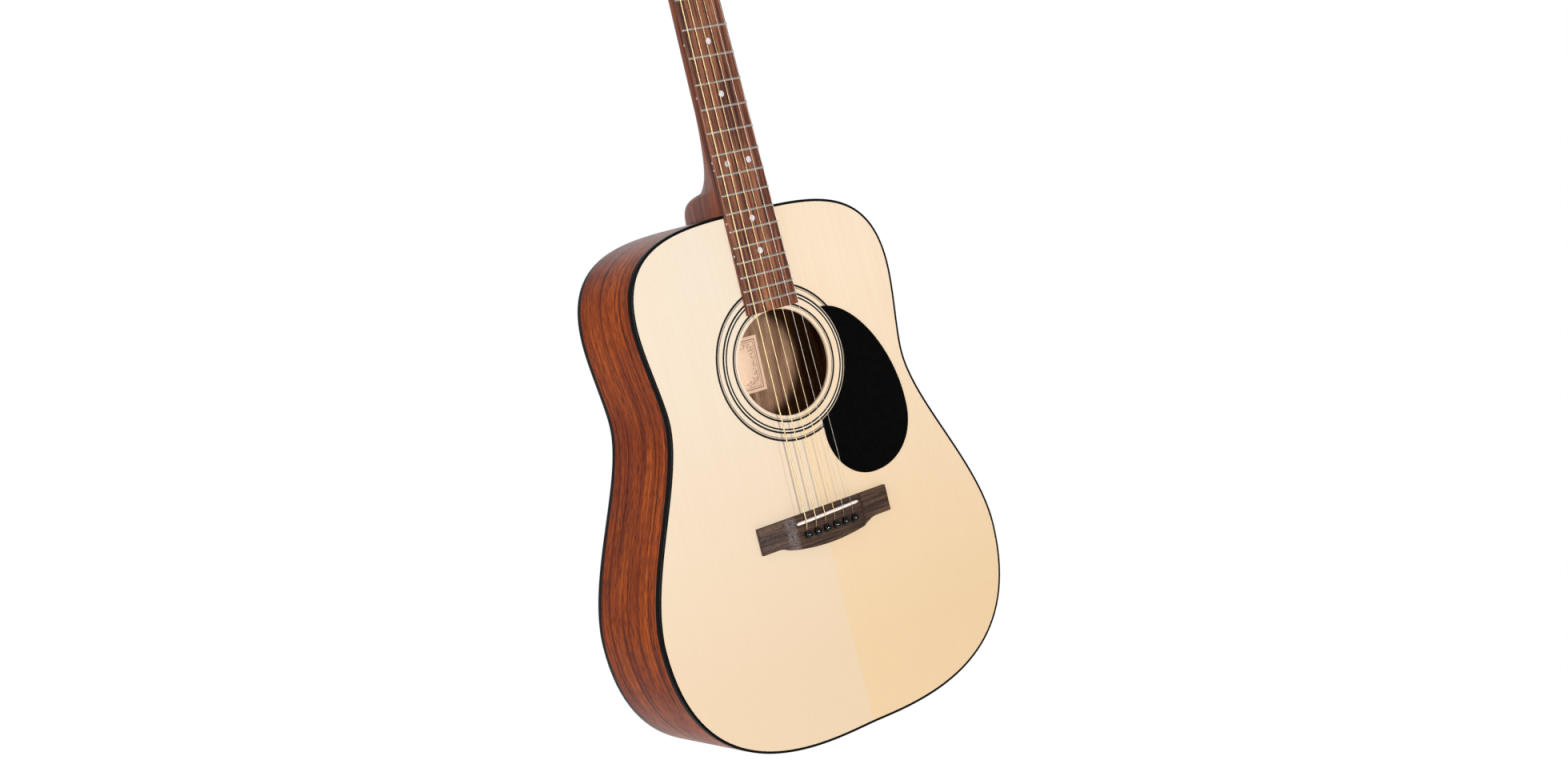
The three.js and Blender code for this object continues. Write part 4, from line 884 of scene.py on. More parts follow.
# Small leaves strewn along the inside of the label's frame, in the label's own plane, then laid on the back.
def leafBorder(ink, corners):
    x0, x1, y0, y1 = corners

    def build(tree, given):
        spaced = spacedAlong(tree, given)
        reach = vector(tree, X=given["Scatter"], Y=given["Scatter"])
        back = outOf(tree, "ShaderNodeVectorMath", {0: reach, 1: (-1, -1, 0)}, operation="MULTIPLY")
        strewn = outOf(
            tree, "FunctionNodeRandomValue", {0: back, 1: reach, "Seed": given["Seed"]},
            data_type="FLOAT_VECTOR",
        )
        points = outOf(tree, "GeometryNodeSetPosition", {"Geometry": spaced, "Offset": strewn})
        circle = outOf(tree, "GeometryNodeMeshCircle", {"Vertices": 8, "Radius": 0.5}, fill_type="NGON")
        size = vector(tree, X=given["Length"], Y=given["Width"], Z=1.0)
        flat = outOf(tree, "GeometryNodeTransform", {"Geometry": circle, "Scale": size})
        blade = outOf(tree, "GeometryNodeExtrudeMesh", {"Mesh": flat, "Offset Scale": 0.00004})
        spin = outOf(
            tree, "FunctionNodeRandomValue", {0: (0, 0, 0), 1: (0, 0, math.tau), "Seed": given["Seed"]},
            data_type="FLOAT_VECTOR",
        )
        return copiesOn(tree, points, blade, given["Ink"], Rotation=spin)

    path = bpy.data.meshes.new("leafPath")
    frameLine = [(x0, y0), (x1, y0), (x1, y1), (x0, y1)]
    corner = 7.5
    spots, edges = [], []
    for run in [frameLine + frameLine[:1]] + [
        [(x + sx * corner, y), (x + sx * corner * 0.4, y + sy * corner * 0.4), (x, y + sy * corner)]
        for (x, y), sx, sy in zip(frameLine, (1, -1, -1, 1), (1, 1, -1, -1))
    ]:
        edges += [(len(spots) + k, len(spots) + k + 1) for k in range(len(run) - 1)]
        spots += [Vector((x, y, 0)) / 1000 for x, y in run]
    path.from_pydata(spots, edges, [])
    sprigs = grown("leafSprigs", path, build, {
        "Spacing": leaf["spacing"] / 1000,
        "Length": leaf["length"] / 1000,
        "Width": leaf["width"] / 1000,
        "Scatter": leaf["scatter"] / 1000,
        "Seed": leaf["seed"],
        "Ink": ink,
    })
    for v in sprigs.data.vertices:
        x, y, z = v.co * 1000
        v.co = place((x, y, backZ(x, y) + body["backThickness"] + 0.26 + z))
    return sprigs


kerf = {
    "spacing": 6.8, "block": 5.6, "width": 5.8, "height": 13.8, "tipShare": 0.3, "fromWall": 3.2,
    "fromFace": 7.2
}


def kerfedLinings(made):
    # short blocks glued round the rim, each a wedge that thins away from the plate
    def build(tree, given):
        spaced = spacedAlong(tree, given)
        size = addNode(
            tree, "ShaderNodeCombineXYZ", {"X": given["Width"], "Y": given["Block"], "Z": given["Height"]}
        )
        blockMesh = outOf(tree, "GeometryNodeMeshCube", {"Size": size.outputs[0]})
        where = outOf(tree, "GeometryNodeInputPosition")
        parts = addNode(tree, "ShaderNodeSeparateXYZ", {0: where})
        drop = worked(tree, "DIVIDE", parts.outputs["Z"], given["Height"])
        narrow = outOf(
            tree, "ShaderNodeMapRange",
            {"Value": drop, "From Min": -0.5, "From Max": 0.5, "To Min": given["Tip share"], "To Max": 1.0}
        )
        half = worked(tree, "DIVIDE", given["Width"], 2.0)
        fromWall = worked(tree, "ADD", parts.outputs["X"], half)
        thinned = worked(tree, "MULTIPLY", fromWall, narrow)
        back = worked(tree, "SUBTRACT", thinned, half)
        shifted = addNode(
            tree, "ShaderNodeCombineXYZ", {"X": back, "Y": parts.outputs["Y"], "Z": parts.outputs["Z"]}
        )
        wedge = outOf(
            tree, "GeometryNodeSetPosition", {"Geometry": blockMesh, "Position": shifted.outputs[0]}
        )
        along = outOf(tree, "GeometryNodeInputTangent")
        facing = outOf(tree, "FunctionNodeAlignRotationToVector", {"Vector": along}, axis="Y", pivot_axis="Z")
        return copiesOn(tree, spaced, wedge, given["Wood"], Rotation=facing)

    for name, node, out in (("topKerfing", "top_lining", 1), ("backKerfing", "back_lining", -1)):
        mesh = bpy.data.meshes.new(name)
        points = []
        for s in wholeRim():
            x, y = inward(s, body["sideThickness"] + kerf["fromWall"])
            face = -body["topThickness"] if out > 0 else backZ(x, y) + body["backThickness"]
            points.append(Vector((x, y, face - out * kerf["fromFace"])) / 1000)
        mesh.from_pydata(points, [(i, (i + 1) % len(points)) for i in range(len(points))], [])
        lining = grown(name, mesh, build, {
            "Spacing": kerf["spacing"] / 1000,
            "Block": kerf["block"] / 1000,
            "Width": kerf["width"] / 1000,
            "Height": kerf["height"] / 1000,
            "Tip share": kerf["tipShare"],
            "Wood": made["mahoganyInside"],
        })
        for v in lining.data.vertices:
            v.co = place(v.co * 1000)
        finish(lining, "guitar", "inside_mahogany", node)


bridge = {
    "front": -642, "half": 75.5, "endDeep": 25.5, "centreDeep": 34.2, "bellyHalf": 50,
    "wingStart": 38, "wingSlope": 7, "height": 9, "wingHeight": 4.6, "round": 0.9,
    "shoulder": 2.6, "shoulderAt": 44, "shoulderFade": 14, "endDrop": 0.4, "endRound": 0.5,
}


def bridgePiece(made):
    b = bridge
    rows = []
    inner = [-b["half"] + 2 * b["half"] * k / 150 for k in range(151)]
    inner = [x for x in inner if abs(x) < b["half"] - 0.5]
    quarter = [math.pi / 2 * k / 4 for k in range(5)]
    for x in [-b["half"], -b["half"] + 0.3, *inner, b["half"] - 0.3, b["half"]]:
        a = abs(x)
        belly = math.cos(a / b["bellyHalf"] * math.pi / 2) ** 0.8 if a < b["bellyHalf"] else 0
        shoulder = b["shoulder"] * (1 - smooth((a - b["shoulderAt"]) / b["shoulderFade"]))
        bulge = (b["centreDeep"] - b["endDeep"] - b["shoulder"]) * belly
        back = b["front"] - b["endDeep"] - shoulder - bulge
        top = b["height"] + (b["wingHeight"] - b["height"]) * smooth((a - b["wingStart"]) / b["wingSlope"])
        r = b["round"]
        if a > b["half"] - 0.1:
            top -= b["endDrop"]
            r = b["endRound"]
        front = [(x, b["front"] - r * (1 - math.cos(t)), top - r * (1 - math.sin(t))) for t in quarter]
        rear = [(x, back + r * (1 - math.cos(t)), top - r * (1 - math.sin(t))) for t in quarter[::-1]]
        rows.append([(x, b["front"], 0), *front, *rear, (x, back, 0)])
    finish(skinned("bridgeBody", rows, made["bridgeWood"], sharp=45), "guitar", "bridge_wood", "bridge")


saddle = {"top": 12.6, "half": 36.3, "thickHalf": 1.4, "foot": 4, "beyond": 5.2}
crownRadius = 400  # the saddle, the nut and the board are crowned alike


def saddleY(x):
    return -scaleLength - saddle["beyond"] + 1 / saddle["half"] * x


def crownDrop(x):
    return x * x / (2 * crownRadius)


def saddlePiece(made):
    rows = []
    for k in range(41):
        x = -saddle["half"] + 2 * saddle["half"] * k / 40
        end = min(1, (saddle["half"] - abs(x)) / 1.2)
        t = saddle["thickHalf"] * (0.35 + 0.65 * math.sin(end * math.pi / 2))
        top = saddle["top"] - crownDrop(x) - 0.5 * (1 - end)
        y = saddleY(x)
        crown = [
            (x, y - t * math.cos(a), top - t * (1 - math.sin(a)) * 0.8)
            for a in [math.pi * j / 8 for j in range(9)]
        ]
        rows.append([(x, y - t, saddle["foot"]), *crown, (x, y + t, saddle["foot"])])
    finish(skinned("saddleBar", rows, made["ivory"], sharp=50), "guitar", "ivory_plastic", "saddle")


pin = {"y": -scaleLength - 18.4, "spread": 55.2, "head": 4.1, "shank": 2.7, "tip": 2.2, "below": 22}


def bridgePins(made):
    for n in range(6):
        x = pin["spread"] * (0.5 - n / 5)
        h = pin["head"]
        profile = [(0, -pin["below"]), (pin["tip"] * 0.7, -pin["below"]), (pin["tip"], -pin["below"] + 1.5),
                   (pin["shank"], 0.6), (pin["shank"], 1.75), (h * 0.72, 1.85)]
        profile += [
            (h * math.cos(a), 4.0 + 3.4 * math.sin(a)) for a in [math.radians(d) for d in range(-38, 90, 8)]
        ]
        profile += [(0, 7.4)]
        piece = turned(
            f"bridgePin{n + 1}", profile, made["pinBlack"],
            lambda p, x=x: place((x + p[0], pin["y"] + p[1], bridge["height"] + p[2])), 32,
        )
        finish(piece, f"pin_{n + 1}", "black_plastic", f"bridge_pin_{n + 1}")


# It runs along the rosette from its tip to its low point, then round a foot above the bridge and up the side.
guard = {
    "radius": 67.8, "tipAngle": 37.4, "foot": (71, bridge["front"] + 15), "low": (25.4, 0.21),
    "side": (126, 0.58)
}


def pickguardPiece(made):
    radius, angle = guard["radius"], math.radians(guard["tipAngle"])
    tip = (radius * math.cos(angle), holeY + radius * math.sin(angle))
    (footX, footY), (lowX, lowShare), (sideX, sideShare) = guard["foot"], guard["low"], guard["side"]
    arcFoot = holeY - math.sqrt(radius**2 - lowX**2)
    lowY = arcFoot + lowShare * (footY - arcFoot)
    sideY = holeY + sideShare * (footY - holeY)
    curves = [
        [tip, (tip[0] + 36, tip[1] - 1), (sideX + 2, sideY + 58), (sideX, sideY)],
        [(sideX, sideY), (sideX - 1, sideY - 31), (footX + 31, footY - 0.5), (footX, footY)],
        [(footX, footY), (footX - 26, footY), (lowX - 0.5, lowY - 27), (lowX, lowY)],
    ]
    outline = bezierPath(curves, 30)
    start = math.atan2(arcFoot - holeY, lowX)
    arc = [start + (angle - start) * k / 60 for k in range(60)]
    outline += [(radius * math.cos(a), holeY + radius * math.sin(a)) for a in arc]
    piece = softSlab("pickguardSheet", outline, 0.02, 1.0, 0.55, made["blackSheet"], both=False)
    finish(piece, "guitar", "black_plastic", "pickguard")


def strapButtonPiece(made):
    tail = body["top"] - body["length"]
    z = backZ(0, tail) / 2
    profile = [(0, 12), (4.9, 12), (6.2, 11.6), (6.9, 10.8), (7, 9.6), (6.8, 8.4), (5.6, 7.2),
               (4.7, 6), (4.6, 4.2),
               (5, 2.6), (6.2, 1.2), (6.7, 0.5), (6.7, 0.0), (4, 0), (4, -18), (0, -18)]
    piece = turned(
        "strapButton", profile, made["black"], lambda p: place((p[0], tail - p[2], z + p[1])), 40, 50
    )
    finish(piece, "guitar", "black_plastic", "strap_button")


neck = {"nutWidth": 43, "joinWidth": 53.6, "boardThickness": 6, "boardEnd": fretAt(20) - 10.2,
        "heelLength": 96, "heelHalf": 19, "heelShort": 8, "heelCap": 17,
        "shaftAtNut": 15.5, "shaftAtHeel": 17.5}


def boardHalf(y):
    return neck["nutWidth"] / 2 + (neck["joinWidth"] - neck["nutWidth"]) / 2 * (y / body["top"])


def neckRing(y, half, depth, taper, steps=36):
    ring = []
    for k in range(steps + 1):
        a = math.pi * k / steps
        around = math.sin(a) ** 0.8
        c = math.cos(a)
        sign = 1 if c >= 0 else -1
        oval = half * sign * abs(c) ** 0.85
        wide = half + (neck["heelHalf"] - half) * smooth(around * 0.98) ** 0.75
        deep = wide * sign * abs(c) ** 0.45
        ring.append((oval + (deep - oval) * taper, y, -depth * around))
    return ring


head = {"tilt": math.radians(14), "thickness": 15, "veneer": 2, "length": 178, "neckHalf": 22,
        "shoulderUp": 24, "shoulderHalf": 34, "tipHalf": 36.5, "tipDrop": 7, "start": 5.3, "swell": 26}
woodFace = -head["veneer"] - 0.3
woodBack = woodFace - head["thickness"]


# From the head's own directions, in which its face is flat, to the maker's.
def alongHead(p):
    c, s = math.cos(head["tilt"]), math.sin(head["tilt"])
    x, y, z = p
    return x, y * c + z * s + head["start"], -y * s + z * c


def headPlace(p):
    return place(alongHead(p))


def headOutline(steps=14, low=0.0):
    n, top, drop = head["neckHalf"], head["length"], head["tipDrop"]
    su, sh, th = head["shoulderUp"], head["shoulderHalf"], head["tipHalf"]
    curves = [
        [(n, low), (n + 0.2, low + 2), (n + 0.4, 4), (n + 0.6, 5)],
        [(n + 0.6, 5), (n + 3, su * 0.55), (sh, su * 0.6), (sh, su)],
        [(sh, su), (sh + 1, su + 40), (th - 1, top - 50), (th, top - 2 * drop)],
        [(th, top - 2 * drop), (th, top - drop), (th - drop, top - drop), (th - 2 * drop, top - drop)],
        [(th - 2 * drop, top - drop), (th * 0.4, top - drop), (th * 0.3, top), (0, top)],
    ]
    right = bezierPath(curves, steps, False)
    return right + [(0, top)] + [(-x, y) for x, y in reversed(right)]


# Half the head's width at a height up its face.
def headHalf(y):
    right = headOutline()[: len(headOutline()) // 2]
    for (ax, ay), (bx, by) in zip(right, right[1:]):
        if ay <= y <= by and by > ay:
            return ax + (bx - ax) * (y - ay) / (by - ay)
    return right[0][0]


# A section of the head: square sides and back with rounded arrises, in as many points as a neckRing.
def headRing(y, half, steps=36, arris=1.4):
    deep = woodFace - woodBack
    ring = []
    for k in range(steps // 2 + 1):
        if k <= 4:
            ring.append((half, (deep - arris) * k / 4))
        elif k <= 10:
            a = math.pi / 2 * (k - 4) / 6
            ring.append((half - arris * (1 - math.cos(a)), deep - arris * (1 - math.sin(a))))
        else:
            ring.append(((half - arris) * (1 - (k - 10) / 8), deep))
    ring += [(-x, z) for x, z in reversed(ring[:-1])]
    return [(x, y, woodFace - z) for x, z in ring]


# The neck is one piece of wood from the heel to the tip of the head; the oval shaft swells into the head.
def neckPiece(made):
    start = body["top"] + neck["heelLength"]
    heelDepth = body["depthAtNeck"] - neck["heelShort"]

    def shaftDepth(y):
        return neck["shaftAtNut"] + (neck["shaftAtHeel"] - neck["shaftAtNut"]) * y / start

    rows = []
    above = head["swell"] - head["start"] + 1
    for y in sorted({round(y, 3) for x, y in headOutline() if y > above}, reverse=True)[1:]:
        rows.append([alongHead(p) for p in headRing(y, headHalf(y))])
    stops = [
        head["swell"] - 2 * k for k in range(int(head["swell"] / 2) - 2)
    ] + [5.4, 5.2, 3, 1, -1, -4, -8, -12]
    for y in stops:
        share = smooth((y + 12) / (head["swell"] + 12))
        up = y - head["start"]
        shaft = neckRing(y, boardHalf(0), shaftDepth(0), 0)
        top = [alongHead(p) for p in headRing(up, headHalf(max(up, 0.001)))]
        ring = [tuple(a + (b - a) * share for a, b in zip(p, q)) for p, q in zip(shaft, top)]
        for k in (0, -1):
            ring[k] = alongHead((ring[k][0], up, woodFace)) if y > head["start"] else (ring[k][0], y, 0)
        rows.append(ring)
    for k in range(1, 13):
        y = -12 + (start + 12) * k / 13
        rows.append(neckRing(y, boardHalf(y), shaftDepth(y), 0))
    cap = body["top"] + neck["heelCap"]
    curves = [
        [(start, 0), (start - 34, 0.02), (cap + 17, 0.26), (cap + 8.5, 0.46)],
        [(cap + 8.5, 0.46), (cap + 5, 0.8), (cap + 3, 0.99), (body["top"] + 0.3, 1)],
    ]
    for y, share in bezierPath(curves, 24):
        depth = neck["shaftAtHeel"] + (heelDepth - neck["shaftAtHeel"]) * share
        rows.append(neckRing(y, boardHalf(y), depth, smooth((depth - neck["shaftAtHeel"]) / 32)))
    piece = skinned("neckWood", rows, made["mahoganyNeck"], sharp=50)
    # the tilted head carries the same wood with its grain turned to follow it
    piece.data.materials.append(made["mahoganyHead"])
    for face in piece.data.polygons:
        if face.center.z * 1000 > 8:
            face.material_index = 1
    finish(piece, "guitar", "neck_mahogany", "neck")
    veneerPiece = softSlab(
        "headstockVeneer", headOutline(), -head["veneer"] - 0.25, 0, 0.3, made["headWood"], headPlace,
        both=False
    )
    finish(veneerPiece, "guitar", "fingerboard_wood", "headstock_veneer")


def fingerboardPiece(made):
    rows = []
    stops = [0, -0.5] + [
        neck["boardEnd"] * k / 40 for k in range(1, 40)
    ] + [neck["boardEnd"] + 0.5, neck["boardEnd"]]
    for i, y in enumerate(stops):
        half = boardHalf(y)
        ends = 0.5 if i in (0, len(stops) - 1) else 0
        ring = [(-half, y, 0)]
        for k in range(25):
            share = -1 + 2 * k / 24
            x = half * share
            edge = 0.5 * smooth((abs(share) - 0.97) / 0.03)
            ring.append((x, y, neck["boardThickness"] - crownDrop(x) - edge - ends))
        ring.append((half, y, 0))
        rows.append(ring)
    finish(
        skinned("fingerboardWood", rows, made["boardWood"], sharp=50), "guitar", "fingerboard_wood",
        "fingerboard"
    )


fret = {"count": 20, "wireHalf": 0.82, "rise": 1.1}


def fretWires(made):
    def build(tree, given):
        line = outOf(tree, "GeometryNodeMeshLine", {"Count": given["Fret count"]})
        number = outOf(tree, "GeometryNodeInputIndex")
        step = worked(tree, "ADD", number, 1.0)
        power = worked(tree, "DIVIDE", step, -12.0)
        left = worked(tree, "POWER", 2.0, power)
        gone = worked(tree, "SUBTRACT", left, 1.0)
        spot = worked(tree, "MULTIPLY", gone, given["Scale length"])
        where = vector(tree, Z=spot, Y=given["Board top"])
        points = outOf(tree, "GeometryNodeSetPosition", {"Geometry": line, "Position": where})
        rail = outOf(tree, "GeometryNodeCurvePrimitiveLine", {"Start": (-0.5, 0, 0), "End": (0.5, 0, 0)})
        rail = outOf(tree, "GeometryNodeResampleCurve", {"Curve": rail, "Count": 17})
        ring = outOf(tree, "GeometryNodeCurvePrimitiveCircle", {"Resolution": 14, "Radius": 1.0})
        crownShape = vector(tree, X=given["Wire width"], Y=given["Wire height"], Z=1.0)
        oval = outOf(tree, "GeometryNodeTransform", {"Geometry": ring, "Scale": crownShape})
        bar = outOf(
            tree, "GeometryNodeCurveToMesh", {"Curve": rail, "Profile Curve": oval, "Fill Caps": True}
        )
        grow = worked(tree, "MULTIPLY", spot, given["Taper"])
        width = worked(tree, "SUBTRACT", given["Nut width"], grow)
        stretch = vector(tree, X=width, Y=1.0, Z=1.0)
        wires = copiesOn(tree, points, bar, given["Metal"], Scale=stretch)
        at = addNode(
            tree, "ShaderNodeSeparateXYZ", {0: outOf(tree, "GeometryNodeInputPosition")}
        ).outputs["X"]
        square = worked(tree, "MULTIPLY", at, at)
        drop = worked(tree, "MULTIPLY", square, given["Crown"])
        down = vector(tree, Y=drop)
        return outOf(tree, "GeometryNodeSetPosition", {"Geometry": wires, "Offset": down})

    piece = grown("fretWires", bpy.data.meshes.new("frets"), build, {
        "Fret count": fret["count"],
        "Scale length": scaleLength / 1000,
        "Nut width": neck["nutWidth"] / 1000 - 0.0002,
        "Taper": (neck["joinWidth"] - neck["nutWidth"]) / -body["top"],
        "Board top": -neck["boardThickness"] / 1000,
        "Wire width": fret["wireHalf"] / 1000,
        "Wire height": fret["rise"] / 1000,
        "Crown": 500 / crownRadius,
        "Metal": made["fretWire"],
    })
    finish(piece, "guitar", "nickel", "fingerboard")


dots = {"radius": 2.9, "single": (3, 5, 7, 9, 15, 17), "double": 12, "spread": 23.5, "sideRadius": 1.1}


def positionDots(made):
    parts = []

    def disc(spot, radius, across, up, out):
        around = [2 * math.pi * k / 24 for k in range(24)]
        rows = []
        for r, h in ((radius, -0.3), (radius, 0.04), (radius * 0.9, 0.07)):
            rows.append([
                tuple(Vector(spot) + r * math.cos(a) * across + r * math.sin(a) * up + h * out)
                for a in around
            ])
        parts.append(skinned("dot", rows, made["pearl"]))

    x, y, z = Vector((1, 0, 0)), Vector((0, 1, 0)), Vector((0, 0, 1))
    for n in (*dots["single"], dots["double"]):
        middle = (fretAt(n) + fretAt(n - 1)) / 2
        pair = n == dots["double"]
        for across in ((-dots["spread"] / 2, dots["spread"] / 2) if pair else (0,)):
            disc((across, middle, neck["boardThickness"] - crownDrop(across)), dots["radius"], x, y, z)
        for shift in ((-3.5, 3.5) if pair else (0,)):
            disc((-boardHalf(middle + shift), middle + shift, 3.2), dots["sideRadius"], z, y, -x)
    finish(joined("positionDots", parts), "guitar", "ivory_plastic")


nut = {"top": 7.5, "deep": 5}


def nutPiece(made):
    rows = []
    for k in range(41):
        share = -1 + 2 * k / 40
        x = neck["nutWidth"] / 2 * share
        top = nut["top"] - crownDrop(x) - 0.5 * smooth((abs(share) - 0.94) / 0.06)
        deep = nut["deep"]
        shape = [(0, 0), (0, top - 0.4), (0.4, top), (2.2, top - 0.05), (3.6, top - 0.5),
                 (deep - 0.3, top - 1.3),
                 (deep, top - 1.9), (deep, 0)]
        rows.append([(x, y, z) for y, z in shape])
    finish(skinned("nutBar", rows, made["ivory"], sharp=50), "guitar", "ivory_plastic", "nut")


def rodCover(made):
    curves = [
        [(8, 2), (13, 12), (9, 24), (5, 32)],
        [(5, 32), (3.5, 38), (-3.5, 38), (-5, 32)],
        [(-5, 32), (-9, 24), (-13, 12), (-8, 2)],
    ]
    outline = bezierPath(curves, 14)
    piece = softSlab("rodCover", outline, 0.05, 2.1, 0.5, made["black"], headPlace, both=False)
    finish(piece, "guitar", "black_plastic", "truss_rod_cover")


tuner = {"first": 40, "spacing": 40, "inset": 11.5, "post": 3.2, "waist": 2.8, "top": 15, "plate": 1.2,
         "plateHalf": 7.5, "plateEnd": 13, "teeth": 14, "pitch": 2, "worm": 2.4, "addendum": 0.55,
         "dedendum": 0.8, "thread": 6, "gear": 3, "ear": 1.2, "earOut": 5.2, "shaft": 1.7, "buttonGap": 7}
button = {"length": 17, "width": 19, "thickness": 8}
gearRadius = tuner["teeth"] * tuner["pitch"] / (2 * math.pi)
wormUp = gearRadius + tuner["worm"]
plateBack = woodBack - 0.3 - tuner["plate"]
wormZ = plateBack - tuner["worm"] - tuner["addendum"] - 0.6


def postSpot(n):
    side = 1 if n < 3 else -1
    number = n if n < 3 else 5 - n
    up = tuner["first"] + tuner["spacing"] * number
    straightUp = head["length"] - 2 * head["tipDrop"] - head["shoulderUp"]
    widening = (head["tipHalf"] - head["shoulderHalf"]) * (up - head["shoulderUp"]) / straightUp
    edge = head["shoulderHalf"] + widening
    return side, side * (edge - tuner["inset"]), up, edge


def stringPost(n, made, where):
    w, top, r = tuner["waist"], tuner["top"], tuner["post"]
    profile = [(0, wormZ - 3.1), (1.9, wormZ - 3.1), (2.1, wormZ - 2.9), (2.1, wormZ), (r, wormZ),
               (r, top - 11.2),
               (3.05, top - 10.7), (w, top - 10), (w, top - 3.6), (3.0, top - 3.0), (r, top - 2.4),
               (r, top - 1.0),
               (3.0, top - 0.4), (2.5, top - 0.05), (1.2, top), (0, top)]
    post = turned(f"stringPost{n + 1}", profile, made["nickel"], where, 32, 40)
    finish(post, f"post_{n + 1}", "nickel", f"tuner_post_{n + 1}")


# The gear's teeth lean with the worm's thread.
def wormGear(n, made, where):
    root, flank, tip = gearRadius - tuner["dedendum"], gearRadius + 0.2, gearRadius + tuner["addendum"]
    rows = []
    for z, twist, pull in ((-1.5, -1, 0.25), (-1.2, -0.8, 0), (1.2, 0.8, 0), (1.5, 1, 0.25)):
        lean = twist * tuner["pitch"] * 1.5 / (2 * math.pi * tuner["worm"] * gearRadius)
        ring = []
        for k in range(tuner["teeth"]):
            middle = math.pi / 2 + 2 * math.pi * (k + 0.5) / tuner["teeth"] + lean
            half = ((root, -0.62), (flank - pull, -0.4), (tip - pull, -0.22))
            for r, wide in (*half, *((r, -wide) for r, wide in half[::-1])):
                a = middle + wide / gearRadius
                ring.append((r * math.cos(a), r * math.sin(a), wormZ + z))
        rows.append(ring)
    gear = skinned(f"wormGear{n + 1}", rows, made["gearBrass"], sharp=30, where=where)
    finish(gear, f"post_{n + 1}", "nickel", f"tuner_post_{n + 1}")


# The worm's thread winds round the stem along the head's x.
def wormThread(made, core, where):
    steps, turns = 26, tuner["thread"] / tuner["pitch"]
    half = ((core - 0.3, -0.6), (core + 1.1, -0.28), (core + 1.35, -0.14))
    section = (*half, *((r, -dx) for r, dx in half[::-1]))
    rows = []
    for i in range(int(steps * turns) + 1):
        turnBy = 2 * math.pi * (i - steps * turns / 2) / steps
        shift = tuner["pitch"] * turnBy / (2 * math.pi)
        a = math.pi + turnBy
        rows.append([(shift + dx, r * math.cos(a), r * math.sin(a)) for r, dx in section])
    return skinned("thread", rows, made["nickel"], sharp=30, where=where)


# A flattened knob, fuller toward its far end and drawn in at both.
def buttonGrip(made, start, where):
    rows = []
    for k in range(19):
        u = -math.cos(math.pi * k / 18)
        swell = max(0.02, 1 - u * u)
        wide = button["width"] / 2 * (swell**0.5 * (0.93 + 0.07 * u))
        thick = button["thickness"] / 2 * (swell**0.36 * (0.92 - 0.08 * u))
        ring = []
        for j in range(32):
            a = 2 * math.pi * j / 32
            c, s = math.cos(a), math.sin(a)
            ring.append((wide * math.copysign(abs(c) ** 0.85, c), thick * math.copysign(abs(s) ** 0.85, s),
                         start + button["length"] * (1 + u) / 2))
        rows.append(ring)
    return skinned("grip", rows, made["nickel"], sharp=60, where=where)


def tunerPieces(made):
    for n in range(6):
        side, x, up, edge = postSpot(n)

        def atPost(p, x=x, up=up):
            return headPlace((x + p[0], up + p[1], p[2]))

        def atWorm(p, x=x, up=up):
            return headPlace((x + p[0], up + wormUp + p[1], wormZ + p[2]))

        def atKey(p, side=side, atWorm=atWorm):
            # a shape turned about its own z lies along x here, pointing to the button's side
            return atWorm((side * p[2], p[0], side * p[1]))

        stringPost(n, made, atPost)
        wormGear(n, made, atPost)
        start = edge + tuner["buttonGap"] - abs(x)
        core, ends, r = tuner["worm"] - tuner["dedendum"], tuner["earOut"], tuner["shaft"]
        profile = [(0, -ends - 1.2), (core - 0.2, -ends - 1.2), (core, -ends - 1.0), (core, ends - 0.9),
                   (r, ends - 0.8),
                   (r, ends + 0.8), (2.4, ends + 1.0), (2.4, ends + 2.3), (r, ends + 2.5), (1.75, start - 1),
                   (2.6, start - 0.2), (2.6, start + 1), (0, start + 1.2)]
        stem = turned("stem", profile, made["nickel"], atKey, 28, 40)
        parts = [stem, wormThread(made, core, atWorm), buttonGrip(made, start, atKey)]
        finish(joined(f"tuningKey{n + 1}", parts), f"key_{n + 1}", "nickel", f"tuner_key_{n + 1}")
        rim = [(3.5, -0.6), (6.4, -0.6), (6.4, 0.5), (5.6, 1.1), (3.9, 1.3), (3.5, 1.0), (3.5, -0.6)]
        finish(turned(f"postBushing{n + 1}", rim, made["nickel"], atPost, 32), "guitar", "nickel")


